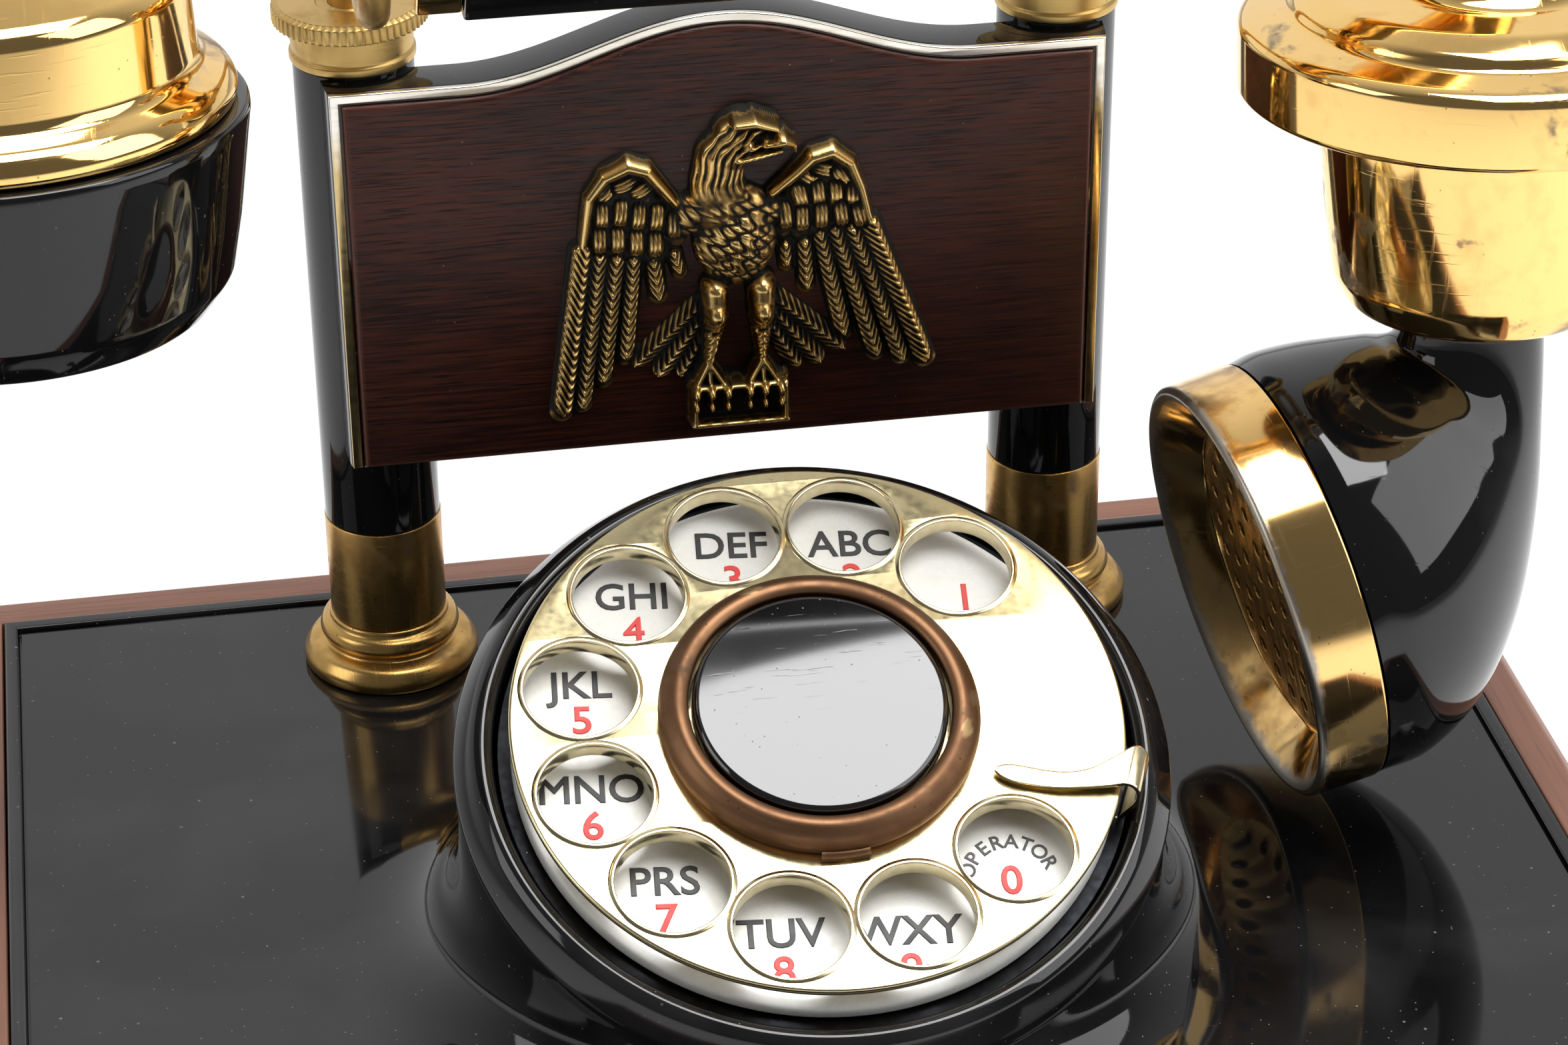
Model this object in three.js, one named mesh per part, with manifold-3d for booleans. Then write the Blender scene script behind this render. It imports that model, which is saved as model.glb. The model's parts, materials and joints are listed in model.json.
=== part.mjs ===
// French-style cradle telephone: a wooden plinth with a moulded black top, a tilted rotary dial, two black
// and brass pillars that carry a wooden plaque with an eagle, and a handset lying across two sprung forks.
// Millimetres, +Z up, the dial faces -Y. The origin is the middle of the plinth's footprint on the table.
import * as THREE from 'three';
import { mergeVertices } from 'three/addons/utils/BufferGeometryUtils.js';
import Module from 'manifold-3d';

const wasm = await Module();
wasm.setup();

// ---- driving dimensions: plinth ----
const GAP = 0.3; // clearance between touching pieces
const BASE_X = 108.7; // half width of the wooden plinth
const BASE_Y = 93.75; // half depth of the wooden plinth
const WOOD_WALL = 6.7;
const WOOD_BEVEL = 1.6;
const WOOD_LIP = 0.4; // rise of the wood above the black top
const FOOT_H = 2;
const FOOT_R = 8;
const FOOT_X = 92;
const FOOT_Y = 77;
const FLOOR_T = 2.2;
const FLOOR_Z = FOOT_H + FLOOR_T + GAP; // where the inner pieces stand
const CORD_HOLE_R = 4;
const CORD_HOLE_Z = 14;
const CORD_X = 30;
const BUSH_BORE = 2.2;
const BUSH_FLANGE_R = 5.6;

// ---- driving dimensions: black top and dial ----
const PANEL_Z = 42; // height of the black top
const PANEL_T = 3.4;
const PANEL_X = BASE_X - WOOD_WALL - GAP;
const PANEL_Y = BASE_Y - WOOD_WALL - GAP;
const LIP_W = 2.2; // raised strip round the black top
const LIP_H = 0.7;
const DIAL = new THREE.Vector3(0, -11.5, PANEL_Z + 35.6); // centre of the finger wheel's top face
const DIAL_TILT = THREE.MathUtils.degToRad(24);
const WHEEL_R = 38.1;
const WHEEL_T = 1.2;
const HOLE_R = 7.05;
const HOLE_PITCH_R = 29.6;
const HOLE_STEP = THREE.MathUtils.degToRad(30);
const FIRST_HOLE = THREE.MathUtils.degToRad(45.5); // clockwise from the top of the dial
const HOLE_COUNT = 10;
const STOP_ANGLE = THREE.MathUtils.degToRad(112);
const STOP_W = 3.2;
const PLATE_R = 38.2;
const PLATE_DEPTH = 5;
const BEZEL_IN = 40.2;
const BEZEL_CREST = new THREE.Vector2(41.8, -4.8); // radius, and height from the wheel's top face
const BEZEL_OUT = 44.9;
const SKIRT_R = 44.5;
const MOUND_SPREAD = 17;
const MOUND_SHIFT = 2;
const MOUND_WALL = 3;
const MOUND_SIDES = 36;
const MOUND_STEPS = 5;
const FRAME_TOP = -PLATE_DEPTH - 1 - GAP; // the dial's frame plate, measured from the wheel's top face
const FRAME_T = 2;
const FRAME_R = 39.6;
const SHAFT_R = 2.4;
const MAIN_TEETH = 36;
const PINION_TEETH = 12;
const PINION_AT = 24;
const GEAR_MODULE = 0.8;
const GEAR_T = 2;

// ---- driving dimensions: pillars, upright panel and eagle ----
const POST_X = 47.25;
const POST_Y = 70.25;
const POST_R = 8;
const POST_TOP = PANEL_Z + 92.7;
const FERRULE_TOP = PANEL_Z + 23.8;
const FLANGE_TOP = PANEL_Z + 8;
const ROD_R = 2.2;
const ROD_BORE = ROD_R + 0.6;
const CAP_R = 10.3;
const CAP_H = 2.6;
const COLLAR_H = 5;
const PLAQUE_FRONT = 58.75; // y of the front face of the upright panel
const PLAQUE_T = 7.6;
const PLAQUE_X = 51.6;
const PLAQUE_FLARE = 1.4; // how much further the panel reaches to each side at its back
const PLAQUE_LOW = PANEL_Z + 36.6;
const PLAQUE_HIGH = PANEL_Z + 92.2;
const PLAQUE_PROUD = 0.4;
const POCKET = 1.6; // depth of the recess that holds the trim and the plaque
const POCKET_EDGE = 0.5;
const HUMP = 7.6; // rise of the wavy top edge in the middle
const HUMP_X = 34;
const TRIM_W = 1.2;
const EAGLE_X = 1.5;
const EAGLE_LOW = PANEL_Z + 38.8;

// ---- driving dimensions: handset and cradle ----
const HAND_Y = 27.25; // handset axis
const HAND_Z = PANEL_Z + 126.2;
const HAND_ROLL = THREE.MathUtils.degToRad(-5);
const EAR_X = -92.7;
const MOUTH_X = 92;
const ELBOW_TWIST = THREE.MathUtils.degToRad(5.5);
const NECK_R = 5.5;
const GRIP_HALF = 36.5;
const GRIP_R = 10.4;
const GRIP_FERRULE = 5.6;
const RING_W = 9.4;
const GRILLE_R = 21;
const FORK_R = 1.9;
const ARM_R = 2.3;
const TIP_R = 3.6;

// ---- driving dimensions: ringer and hook switch ----
const GONG_X = 30;
const GONG_Y = 24;
const CLAPPER_Y = -10;
const COIL_Y = -22;
const LEVER_TOP = 24;
const LEVER_T = 2;
const LEVER_Y = POST_Y - 18.25; // pivot line of the switch lever
const LEVER_PIN_R = 1.6;

// ---- materials ----
const look = (color, roughness, metalness) => () =>
  new THREE.MeshStandardMaterial({ color, roughness, metalness });
const wood = look(0x6b3a26, 0.5, 0);
const darkWood = look(0x2e1712, 0.45, 0);
const black = look(0x0b0b0c, 0.12, 0);
const gold = look(0xe0a445, 0.15, 1);
const agedBrass = look(0x9a7430, 0.38, 1);
const paleBrass = look(0xc9b67a, 0.3, 1);
const copper = look(0x8a5430, 0.4, 1);
const enamel = look(0xe9e9e4, 0.3, 0);
const silver = look(0xc8c4b8, 0.3, 1);
const steel = look(0x8d9094, 0.4, 1);
const rubber = look(0x1a1a1a, 0.8, 0);
const eagleBrass = look(0x6e5223, 0.45, 1);
const phenolic = look(0x3a2a1c, 0.6, 0);

// ---- solids ----
function toSolid(geometry) {
  const plain = geometry.clone();
  for (const key of Object.keys(plain.attributes)) {
    if (key !== 'position') plain.deleteAttribute(key);
  }
  const merged = mergeVertices(plain, 1e-4);
  const positions = new Float32Array(merged.attributes.position.array);
  const index = merged.index.array;
  const triangles = [];
  let volume = 0;
  const corner = (i) => new THREE.Vector3().fromArray(positions, 3 * i);
  for (let i = 0; i < index.length; i += 3) {
    const [a, b, c] = [index[i], index[i + 1], index[i + 2]];
    if (a === b || b === c || a === c) continue;
    triangles.push([a, b, c]);
    volume += corner(a).dot(corner(b).cross(corner(c)));
  }
  const ordered = triangles.flatMap(([a, b, c]) => (volume < 0 ? [a, c, b] : [a, b, c]));
  return new wasm.Manifold(
    new wasm.Mesh({ numProp: 3, vertProperties: positions, triVerts: new Uint32Array(ordered) }),
  );
}

function toGeometry(solid) {
  const mesh = solid.getMesh();
  const geometry = new THREE.BufferGeometry();
  const points = new Float32Array(mesh.vertProperties);
  geometry.setAttribute('position', new THREE.BufferAttribute(points, 3));
  geometry.setIndex(new THREE.BufferAttribute(new Uint32Array(mesh.triVerts), 1));
  geometry.computeVertexNormals();
  return geometry;
}

const join = (...parts) => parts.map(toSolid).reduce((a, b) => a.add(b));
const cut = (solid, ...parts) => parts.map(toSolid).reduce((a, b) => a.subtract(b), solid);

// A solid of revolution about Z from [radius, height] pairs; a profile off the axis closes on itself.
function turned(profile, segments = 24) {
  const points = profile.map(([r, z]) => new THREE.Vector2(r, z));
  if (profile[0][0] > 0) points.push(points[0].clone());
  return new THREE.LatheGeometry(points, segments).rotateX(Math.PI / 2);
}

const cylinder = (r, low, high, segments = 24) =>
  new THREE.CylinderGeometry(r, r, high - low, segments).rotateX(Math.PI / 2)
    .translate(0, 0, (low + high) / 2);

const box = (x0, x1, y0, y1, z0, z1) =>
  new THREE.BoxGeometry(x1 - x0, y1 - y0, z1 - z0)
    .translate((x0 + x1) / 2, (y0 + y1) / 2, (z0 + z1) / 2);

const ball = (r, x, y, z, stretch = [1, 1, 1]) =>
  new THREE.SphereGeometry(r, 10, 7).scale(...stretch).translate(x, y, z);

const extruded = (points, depth) =>
  new THREE.ExtrudeGeometry(new THREE.Shape(points.map(([x, y]) => new THREE.Vector2(x, y))),
    { depth, bevelEnabled: false });

// Turns a shape made about Z so that its axis lies along X.
const alongX = (geometry) => geometry.rotateY(Math.PI / 2);

// A closed skin over rings that all hold the same number of points, with a flat fan at each end.
function loft(rings) {
  const count = rings[0].length;
  const positions = [];
  const index = [];
  rings.flat().forEach((p) => positions.push(p.x, p.y, p.z));
  for (let k = 0; k + 1 < rings.length; k += 1) {
    for (let i = 0; i < count; i += 1) {
      const a = k * count + i;
      const b = k * count + ((i + 1) % count);
      index.push(a, b, b + count, a, b + count, a + count);
    }
  }
  [0, rings.length - 1].forEach((k) => {
    const centre = rings[k].reduce((s, p) => s.add(p), new THREE.Vector3()).divideScalar(count);
    const c = positions.length / 3;
    positions.push(centre.x, centre.y, centre.z);
    for (let i = 0; i < count; i += 1) {
      const a = k * count + i;
      const b = k * count + ((i + 1) % count);
      if (k === 0) index.push(c, b, a);
      else index.push(c, a, b);
    }
  });
  const geometry = new THREE.BufferGeometry();
  geometry.setAttribute('position', new THREE.Float32BufferAttribute(positions, 3));
  geometry.setIndex(index);
  return geometry;
}

// A ring of points about a centre, spanned by two directions.
function circle(centre, u, v, radius, count) {
  return Array.from({ length: count }, (_, i) => {
    const a = (2 * Math.PI * i) / count;
    return centre.clone().addScaledVector(u, radius * Math.cos(a)).addScaledVector(v, radius * Math.sin(a));
  });
}

const rectRing = (x, y, z) => [
  new THREE.Vector3(-x, -y, z), new THREE.Vector3(x, -y, z),
  new THREE.Vector3(x, y, z), new THREE.Vector3(-x, y, z),
];

// A round bar swept along a curve, with a radius that may change along it.
function bar(curve, radiusAt, steps, sides) {
  const rings = Array.from({ length: steps + 1 }, (_, k) => {
    const t = k / steps;
    const ahead = curve.getTangentAt(t);
    const reference = new THREE.Vector3(Math.abs(ahead.y) > 0.9 ? 1 : 0, Math.abs(ahead.y) > 0.9 ? 0 : 1, 0);
    const side = new THREE.Vector3().crossVectors(ahead, reference).normalize();
    const other = new THREE.Vector3().crossVectors(ahead, side).normalize();
    return circle(curve.getPointAt(t), side, other, radiusAt(t), sides);
  });
  return loft(rings);
}

// Points at a clock angle, as on a dial.
const clockwise = (angle, radius) => [radius * Math.sin(angle), radius * Math.cos(angle)];

const phone = new THREE.Group();

function add(name, shape, material, parent = phone) {
  const solid = shape instanceof THREE.BufferGeometry ? toSolid(shape) : shape;
  const mesh = new THREE.Mesh(toGeometry(solid), material());
  mesh.name = name;
  parent.add(mesh);
  return mesh;
}

const bothSides = (build) => [['left', -1], ['right', 1]].forEach(([name, side]) => build(name, side));

// ---- plinth ----
const innerX = BASE_X - WOOD_WALL;
const innerY = BASE_Y - WOOD_WALL;
const wallMiddle = BASE_Y - WOOD_WALL / 2;

function plinthFrame() {
  const top = PANEL_Z + WOOD_LIP;
  const outside = loft([
    rectRing(BASE_X, BASE_Y, FOOT_H),
    rectRing(BASE_X, BASE_Y, top - WOOD_BEVEL),
    rectRing(BASE_X - WOOD_BEVEL, BASE_Y - WOOD_BEVEL, top),
  ]);
  const inside = box(-innerX, innerX, -innerY, innerY, FOOT_H - 1, top + 1);
  const cordHoles = [-CORD_X, CORD_X].map((x) =>
    cylinder(CORD_HOLE_R, -WOOD_WALL, WOOD_WALL, 20).rotateX(Math.PI / 2)
      .translate(x, wallMiddle, CORD_HOLE_Z));
  return cut(toSolid(outside), inside, ...cordHoles);
}
add('wood_plinth_frame', plinthFrame(), wood);

const gongPost = (side) => cylinder(3, FOOT_H + 1, FLOOR_Z + 19.7, 16).translate(side * GONG_X, GONG_Y, 0);
const clapperPin = cylinder(1.9, FOOT_H + 1, FLOOR_Z + 7.7, 14).translate(0, CLAPPER_Y, 0);
const floorX = innerX - GAP;
const floorY = innerY - GAP;
const floorSheet = box(-floorX, floorX, -floorY, floorY, FOOT_H, FOOT_H + FLOOR_T);
add('base_floor_plate', join(floorSheet, gongPost(-1), gongPost(1), clapperPin), steel);

[['front_left', -1, -1], ['front_right', 1, -1], ['rear_left', -1, 1], ['rear_right', 1, 1]]
  .forEach(([name, sx, sy]) => {
    const foot = turned([[0, 0], [FOOT_R - 0.6, 0], [FOOT_R, FOOT_H - GAP], [0, FOOT_H - GAP]]);
    add(`rubber_foot_${name}`, foot.translate(sx * FOOT_X, sy * FOOT_Y, 0), rubber);
  });

[['line', -CORD_X], ['handset', CORD_X]].forEach(([name, x]) => {
  const [outer, inner, end] = [-WOOD_WALL / 2, WOOD_WALL / 2 + GAP, WOOD_WALL / 2 + 1.5];
  const bush = turned([
    [BUSH_BORE, outer], [CORD_HOLE_R - GAP, outer], [CORD_HOLE_R - GAP, inner],
    [BUSH_FLANGE_R, inner], [BUSH_FLANGE_R, end], [BUSH_BORE, end]], 16);
  add(`${name}_cord_inlet_bush`, bush.rotateX(Math.PI / 2).translate(x, wallMiddle, CORD_HOLE_Z), rubber);
});

// ---- black top with the dial mound ----
const dialUp = new THREE.Vector3(0, Math.cos(DIAL_TILT), Math.sin(DIAL_TILT));
const dialOut = new THREE.Vector3(0, -Math.sin(DIAL_TILT), Math.cos(DIAL_TILT));
const xAxis = new THREE.Vector3(1, 0, 0);
const yAxis = new THREE.Vector3(0, 1, 0);

// Tilted rings near the rim turn level as the mound spreads into the flat top.
function moundRings(shrink, low) {
  const rim = [
    [BEZEL_CREST.x, BEZEL_CREST.y], [BEZEL_OUT - 1.5, -6.6], [BEZEL_OUT, -8.8], [BEZEL_OUT, -9.8],
    [SKIRT_R - 0.2, -10.4], [SKIRT_R, -12]];
  const rings = rim.map(([r, h]) =>
    circle(DIAL.clone().addScaledVector(dialOut, h), xAxis, dialUp, r - shrink, MOUND_SIDES));
  const from = rings[rings.length - 1];
  const foot = new THREE.Vector3(DIAL.x, DIAL.y + MOUND_SHIFT, low);
  for (let k = 1; k <= MOUND_STEPS; k += 1) {
    const t = k / MOUND_STEPS;
    const turn = (t * Math.PI) / 2;
    const grow = MOUND_SPREAD * (1 - Math.cos(turn)) ** 1.15;
    const level = circle(foot, xAxis, yAxis, SKIRT_R - shrink + grow, MOUND_SIDES);
    rings.push(from.map((p, i) => new THREE.Vector3(
      THREE.MathUtils.lerp(p.x, level[i].x, t),
      THREE.MathUtils.lerp(p.y, level[i].y, t),
      THREE.MathUtils.lerp(p.z, low, Math.sin(turn)))));
  }
  return rings;
}

function blackTop() {
  const low = PANEL_Z - PANEL_T;
  const sheet = box(-PANEL_X, PANEL_X, -PANEL_Y, PANEL_Y, low, PANEL_Z + LIP_H);
  const [x, y] = [PANEL_X - LIP_W, PANEL_Y - LIP_W];
  const withinLip = box(-x, x, -y, y, PANEL_Z, PANEL_Z + LIP_H + 1);
  const mouth = cylinder(BEZEL_IN, -12, 8, MOUND_SIDES).rotateX(DIAL_TILT).translate(...DIAL);
  const below = box(-PANEL_X, PANEL_X, -PANEL_Y, PANEL_Y, low - 40, low);
  const rodHoles = [-1, 1].map((side) => cylinder(ROD_BORE, 0, 60, 16).translate(side * POST_X, POST_Y, 0));
  const whole = cut(toSolid(sheet), withinLip).add(toSolid(loft(moundRings(0, low + 1))));
  return cut(whole, loft(moundRings(MOUND_WALL, low - 1)), mouth, below, ...rodHoles);
}
add('black_top_panel', blackTop(), black);

// ---- dial ----
const dial = new THREE.Group();
dial.position.copy(DIAL);
dial.rotation.x = DIAL_TILT;
phone.add(dial);

function fingerWheel() {
  const shape = new THREE.Shape().absarc(0, 0, WHEEL_R, 0, 2 * Math.PI);
  shape.holes.push(new THREE.Path().absarc(0, 0, SHAFT_R + GAP, 0, 2 * Math.PI, true));
  for (let k = 0; k < HOLE_COUNT; k += 1) {
    const [x, y] = clockwise(FIRST_HOLE - k * HOLE_STEP, HOLE_PITCH_R);
    shape.holes.push(new THREE.Path().absarc(x, y, HOLE_R, 0, 2 * Math.PI, true));
  }
  return new THREE.ExtrudeGeometry(shape, { depth: WHEEL_T, bevelEnabled: false, curveSegments: 8 })
    .translate(0, 0, -WHEEL_T);
}
add('finger_wheel', fingerWheel(), paleBrass, dial);
add('dial_centre_ring', turned([
  [16.3, GAP], [19, GAP], [19.8, 1.4], [19.7, 3.1], [18.6, 4.4], [16.3, 4.7]]), copper, dial);
add('dial_centre_disc', turned([[0, GAP], [16, GAP], [16, 4.1], [15.4, 4.5], [0, 4.5]]), black, dial);
const shaftHole = SHAFT_R + 0.8;
add('number_plate', turned([
  [shaftHole, -PLATE_DEPTH - 1], [PLATE_R, -PLATE_DEPTH - 1], [PLATE_R, -PLATE_DEPTH],
  [shaftHole, -PLATE_DEPTH]]), enamel, dial);

const frameLow = FRAME_TOP - FRAME_T;
const frameRing = turned([
  [shaftHole, frameLow], [FRAME_R, frameLow], [FRAME_R, FRAME_TOP], [shaftHole, FRAME_TOP]]);
const pinionHole = cylinder(1.8, frameLow - 1, FRAME_TOP + 1, 14).translate(0, PINION_AT, 0);
add('dial_frame_plate', cut(toSolid(frameRing), pinionHole), steel, dial);

// A spur gear about Z; each tooth takes four points, two on its tip and two in the next gap.
function gear(teeth, bore) {
  const shape = new THREE.Shape();
  const root = (teeth * GEAR_MODULE) / 2 - 0.45;
  const tip = root + 0.9;
  for (let k = 0; k < teeth * 4; k += 1) {
    const onTip = k % 4 < 2;
    const angle = (2 * Math.PI * (k + (onTip ? 0.25 : -0.25))) / (teeth * 4);
    const radius = onTip ? tip : root;
    const place = [radius * Math.cos(angle), radius * Math.sin(angle)];
    if (k === 0) shape.moveTo(...place);
    else shape.lineTo(...place);
  }
  shape.closePath();
  shape.holes.push(new THREE.Path().absarc(0, 0, bore, 0, 2 * Math.PI, true));
  return new THREE.ExtrudeGeometry(shape, { depth: GEAR_T, bevelEnabled: false, curveSegments: 6 });
}
const gearLow = frameLow - GEAR_T - 2;
const springLow = gearLow - 5;
add('dial_shaft_and_gear', join(
  cylinder(SHAFT_R, frameLow - 12, 0, 16),
  gear(MAIN_TEETH, SHAFT_R - 0.4).translate(0, 0, gearLow)), steel, dial);

const pinionShaft = turned([
  [0.6, springLow], [1.4, springLow], [1.4, FRAME_TOP - 0.6], [0.6, FRAME_TOP - 0.6]], 14);
const pulseCam = extruded([[3, 0], [0.9, 1.6], [-3, 0], [-0.9, -1.6]], 1.5).translate(0, 0, gearLow - 4);
add('pulse_pinion', join(gear(PINION_TEETH, 0.6).translate(0, 0, gearLow), pinionShaft, pulseCam)
  .translate([0, PINION_AT, 0]), steel, dial);
add('dial_return_spring', turned([
  [4, springLow], [11, springLow], [11, gearLow - 1], [4, gearLow - 1]], 28), steel, dial);

// A blade over the wheel that bends down outside its rim, drawn from its tip outwards.
function fingerStop() {
  const [top, under, bend] = [1.1, 0.3, 17.1];
  const foot = FRAME_TOP + GAP;
  const strip = new THREE.Shape();
  strip.moveTo(0, top);
  strip.lineTo(bend, top);
  strip.absarc(bend, top - 1.5, 1.5, Math.PI / 2, 0, true);
  strip.lineTo(bend + 1.5, foot);
  strip.lineTo(bend + 0.4, foot);
  strip.lineTo(bend + 0.4, -under);
  strip.lineTo(bend - 0.1, under);
  strip.lineTo(0, under);
  return new THREE.ExtrudeGeometry(strip, { depth: STOP_W, bevelEnabled: false, curveSegments: 5 })
    .rotateX(Math.PI / 2).translate(WHEEL_R - 17, STOP_W / 2, 0.7);
}
const stop = add('finger_stop', fingerStop(), paleBrass, dial);
stop.rotation.z = Math.PI / 2 - STOP_ANGLE;

// ---- pillars ----
const columnLow = PANEL_Z + GAP;
const collarTop = POST_TOP + COLLAR_H;
const capLow = collarTop + GAP;
const capTop = capLow + CAP_H;
const pillarPieces = [
  ['foot_flange', agedBrass, 24, [
    [POST_R - 0.7, columnLow], [12.1, columnLow], [12.3, PANEL_Z + 1.6], [11.6, PANEL_Z + 3.2],
    [9.5, PANEL_Z + 3.8], [9.8, PANEL_Z + 5.2], [9.2, PANEL_Z + 6.6], [8.4, FLANGE_TOP],
    [POST_R - 0.7, FLANGE_TOP]]],
  ['ferrule', agedBrass, 24, [
    [POST_R - 0.7, FLANGE_TOP + GAP], [POST_R + 0.1, FLANGE_TOP + GAP],
    [POST_R + 0.1, FERRULE_TOP - GAP], [POST_R - 0.7, FERRULE_TOP - GAP]]],
  ['pillar', black, 24, [
    [ROD_BORE, columnLow], [POST_R - 1, columnLow], [POST_R - 1, FERRULE_TOP], [POST_R, FERRULE_TOP],
    [POST_R, POST_TOP], [ROD_BORE, POST_TOP]]],
  ['collar', agedBrass, 24, [
    [ROD_BORE, POST_TOP + GAP], [POST_R + 0.35, POST_TOP + GAP], [POST_R + 0.35, collarTop],
    [ROD_BORE, collarTop]]],
  ['knurled_cap', agedBrass, 36, [
    [ROD_BORE, capLow], [CAP_R, capLow], [CAP_R, capTop - 0.3], [CAP_R - 0.4, capTop], [ROD_BORE, capTop]]],
];
bothSides((name, side) => pillarPieces.forEach(([piece, material, segments, profile]) =>
  add(`${piece}_${name}`, turned(profile, segments).translate(side * POST_X, POST_Y, 0), material)));

// ---- upright panel, trim, plaque and eagle ----
// Rise of the wavy top edge above its low ends, at a distance x from the middle.
const wave = (x) => (Math.abs(x) < HUMP_X ? (HUMP / 2) * (1 + Math.cos((Math.PI * x) / HUMP_X)) : 0);

// The wavy outline at one depth, inset from the panel's own outline and from its lower edge.
function wavyRing(y, inset, lowInset = inset, steps = 18) {
  const half = PLAQUE_X - inset;
  const top = Array.from({ length: steps + 1 }, (_, k) => {
    const x = half - (2 * half * k) / steps;
    return new THREE.Vector3(x, y, PLAQUE_HIGH - Math.max(inset, 0) + wave(x));
  });
  const low = PLAQUE_LOW + lowInset;
  return [new THREE.Vector3(-half, y, low), new THREE.Vector3(half, y, low), ...top];
}
const wavySlab = (inset, y, depth, lowInset = inset) =>
  loft([wavyRing(y, inset, lowInset), wavyRing(y + depth, inset, lowInset)]);

const board = loft([wavyRing(PLAQUE_FRONT, 0), wavyRing(PLAQUE_FRONT + PLAQUE_T, -PLAQUE_FLARE, 0)]);
const pocket = wavySlab(POCKET_EDGE, PLAQUE_FRONT - 1, POCKET + 1, -3);
const postClear = (side) => cylinder(POST_R + GAP, 0, 200, 36).translate(side * POST_X, POST_Y, 0);
add('upright_panel', cut(toSolid(board), pocket, postClear(-1), postClear(1)), black);

const trimInset = POCKET_EDGE + GAP;
const trimOutside = wavySlab(trimInset, PLAQUE_FRONT, POCKET - GAP, GAP);
const trimInside = wavySlab(trimInset + TRIM_W, PLAQUE_FRONT - 1, POCKET + 2, -3);
add('trim_strip', cut(toSolid(trimOutside), trimInside), silver);
const plaqueFace = PLAQUE_FRONT - PLAQUE_PROUD;
add('wood_plaque', wavySlab(trimInset + TRIM_W + GAP, plaqueFace, POCKET + PLAQUE_PROUD - GAP, GAP), darkWood);

// The eagle stands on a hollow block with its wings half open; its back is flat on the plaque.
function eagle() {
  const back = plaqueFace - GAP;
  const relief = (points, depth) => extruded(points, depth).rotateX(Math.PI / 2).translate(0, back, 0);
  const wing = (side) => relief([
    [3, 33], [6, 38], [12, 42], [16.5, 40.5], [19, 35], [23, 20], [26.6, 6], [23.6, 4.8], [17, 8],
    [12, 12.5], [6, 17], [3, 18]].map(([x, z]) => [side * x, z]), 2.6);
  const tail = relief([[-9, 8], [9, 8], [7, 14], [3, 22], [-3, 22], [-7, 14]], 1.6);
  const block = relief([[-7, 0], [7, 0], [7, 7], [-7, 7]], 4.2);
  const body = ball(1, 0, back - 2.6, 25, [6.4, 4.4, 12]);
  const neck = ball(1, 0, back - 2.8, 36.5, [5, 3.8, 7]);
  const head = ball(1, 0, back - 3.4, 42.5, [4.6, 4, 5.2]);
  const beak = ball(1, 5, back - 3.4, 41.4, [3.6, 1.8, 1.9]);
  const legs = [-3.6, 3.6].map((x) => ball(1, x, back - 2.6, 12, [2.4, 2.8, 7]));
  const behind = box(-40, 40, back, back + 20, -10, 60);
  return cut(join(wing(-1), wing(1), tail, block, body, neck, head, beak, ...legs), behind)
    .translate([EAGLE_X, 0, EAGLE_LOW]);
}
add('brass_eagle', eagle(), eagleBrass);

// ---- cradle: rods in the pillars, arms that reach forward and forks that hold the handset ----
const seatZ = HAND_Z - NECK_R - GAP; // upper face of the fork's seat
const rodTop = capTop + 2;
bothSides((name, side) => {
  const x = side * POST_X;
  const smooth = (points) => new THREE.CatmullRomCurve3(points.map(([y, z]) => new THREE.Vector3(x, y, z)));
  const rod = cylinder(ROD_R, LEVER_TOP + GAP, rodTop, 16).translate(x, POST_Y, 0);
  const arm = smooth([
    [POST_Y, rodTop + GAP], [POST_Y, capTop + 8], [POST_Y - 5, capTop + 15],
    [(POST_Y + HAND_Y) / 2, capTop + 19], [HAND_Y + 9.5, seatZ + 0.5]]);
  const prongs = smooth([
    [HAND_Y + 13, seatZ + 13], [HAND_Y + 12.2, seatZ + 5], [HAND_Y + 7.6, seatZ - 0.2], [HAND_Y, seatZ - 2],
    [HAND_Y - 7.6, seatZ - 0.2], [HAND_Y - 12.2, seatZ + 5], [HAND_Y - 13, seatZ + 11]]);
  add(`plunger_rod_${name}`, rod, steel);
  add(`cradle_fork_${name}`, join(
    bar(arm, () => ARM_R, 8, 8), bar(prongs, () => FORK_R, 12, 8),
    ball(TIP_R, x, HAND_Y - 13, seatZ + 12), ball(TIP_R, x, HAND_Y + 13, seatZ + 14)), agedBrass);
});

// ---- handset ----
const handset = new THREE.Group();
handset.position.set(0, HAND_Y, HAND_Z);
handset.rotation.x = HAND_ROLL;
phone.add(handset);

const octagon = (r, low, high) => alongX(
  new THREE.CylinderGeometry(r, r, high - low, 8).rotateY(Math.PI / 8).rotateX(Math.PI / 2)
    .translate(0, 0, (low + high) / 2));
add('handset_grip', octagon(GRIP_R, -GRIP_HALF, GRIP_HALF), black, handset);
const neckStart = GRIP_HALF + GRIP_FERRULE + GAP;
bothSides((name, side) => {
  const ends = [side * (GRIP_HALF + GAP), side * (GRIP_HALF + GRIP_FERRULE)].sort((a, b) => a - b);
  add(`grip_ferrule_${name}`, octagon(GRIP_R - 1, ...ends), gold, handset);
});

const neckRadius = (t) => NECK_R - 0.6 * Math.sin(Math.PI * t);
function neck(points) {
  const curve = new THREE.CatmullRomCurve3(points.map(([x, z]) => new THREE.Vector3(x, 0, z)));
  return bar(curve, neckRadius, 14, 10);
}
add('receiver_neck', neck([
  [-neckStart, 0], [-56, 0.5], [-68, 8], [-79, 15.5], [-88, 17.5], [EAR_X + 0.2, 14], [EAR_X, 9.2]]),
gold, handset);
add('transmitter_neck', neck([
  [neckStart, 0], [66, 0.6], [80, 1.4], [89.5, -0.8], [MOUTH_X - 0.2, -5], [MOUTH_X, -9.6]]), gold, handset);

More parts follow.
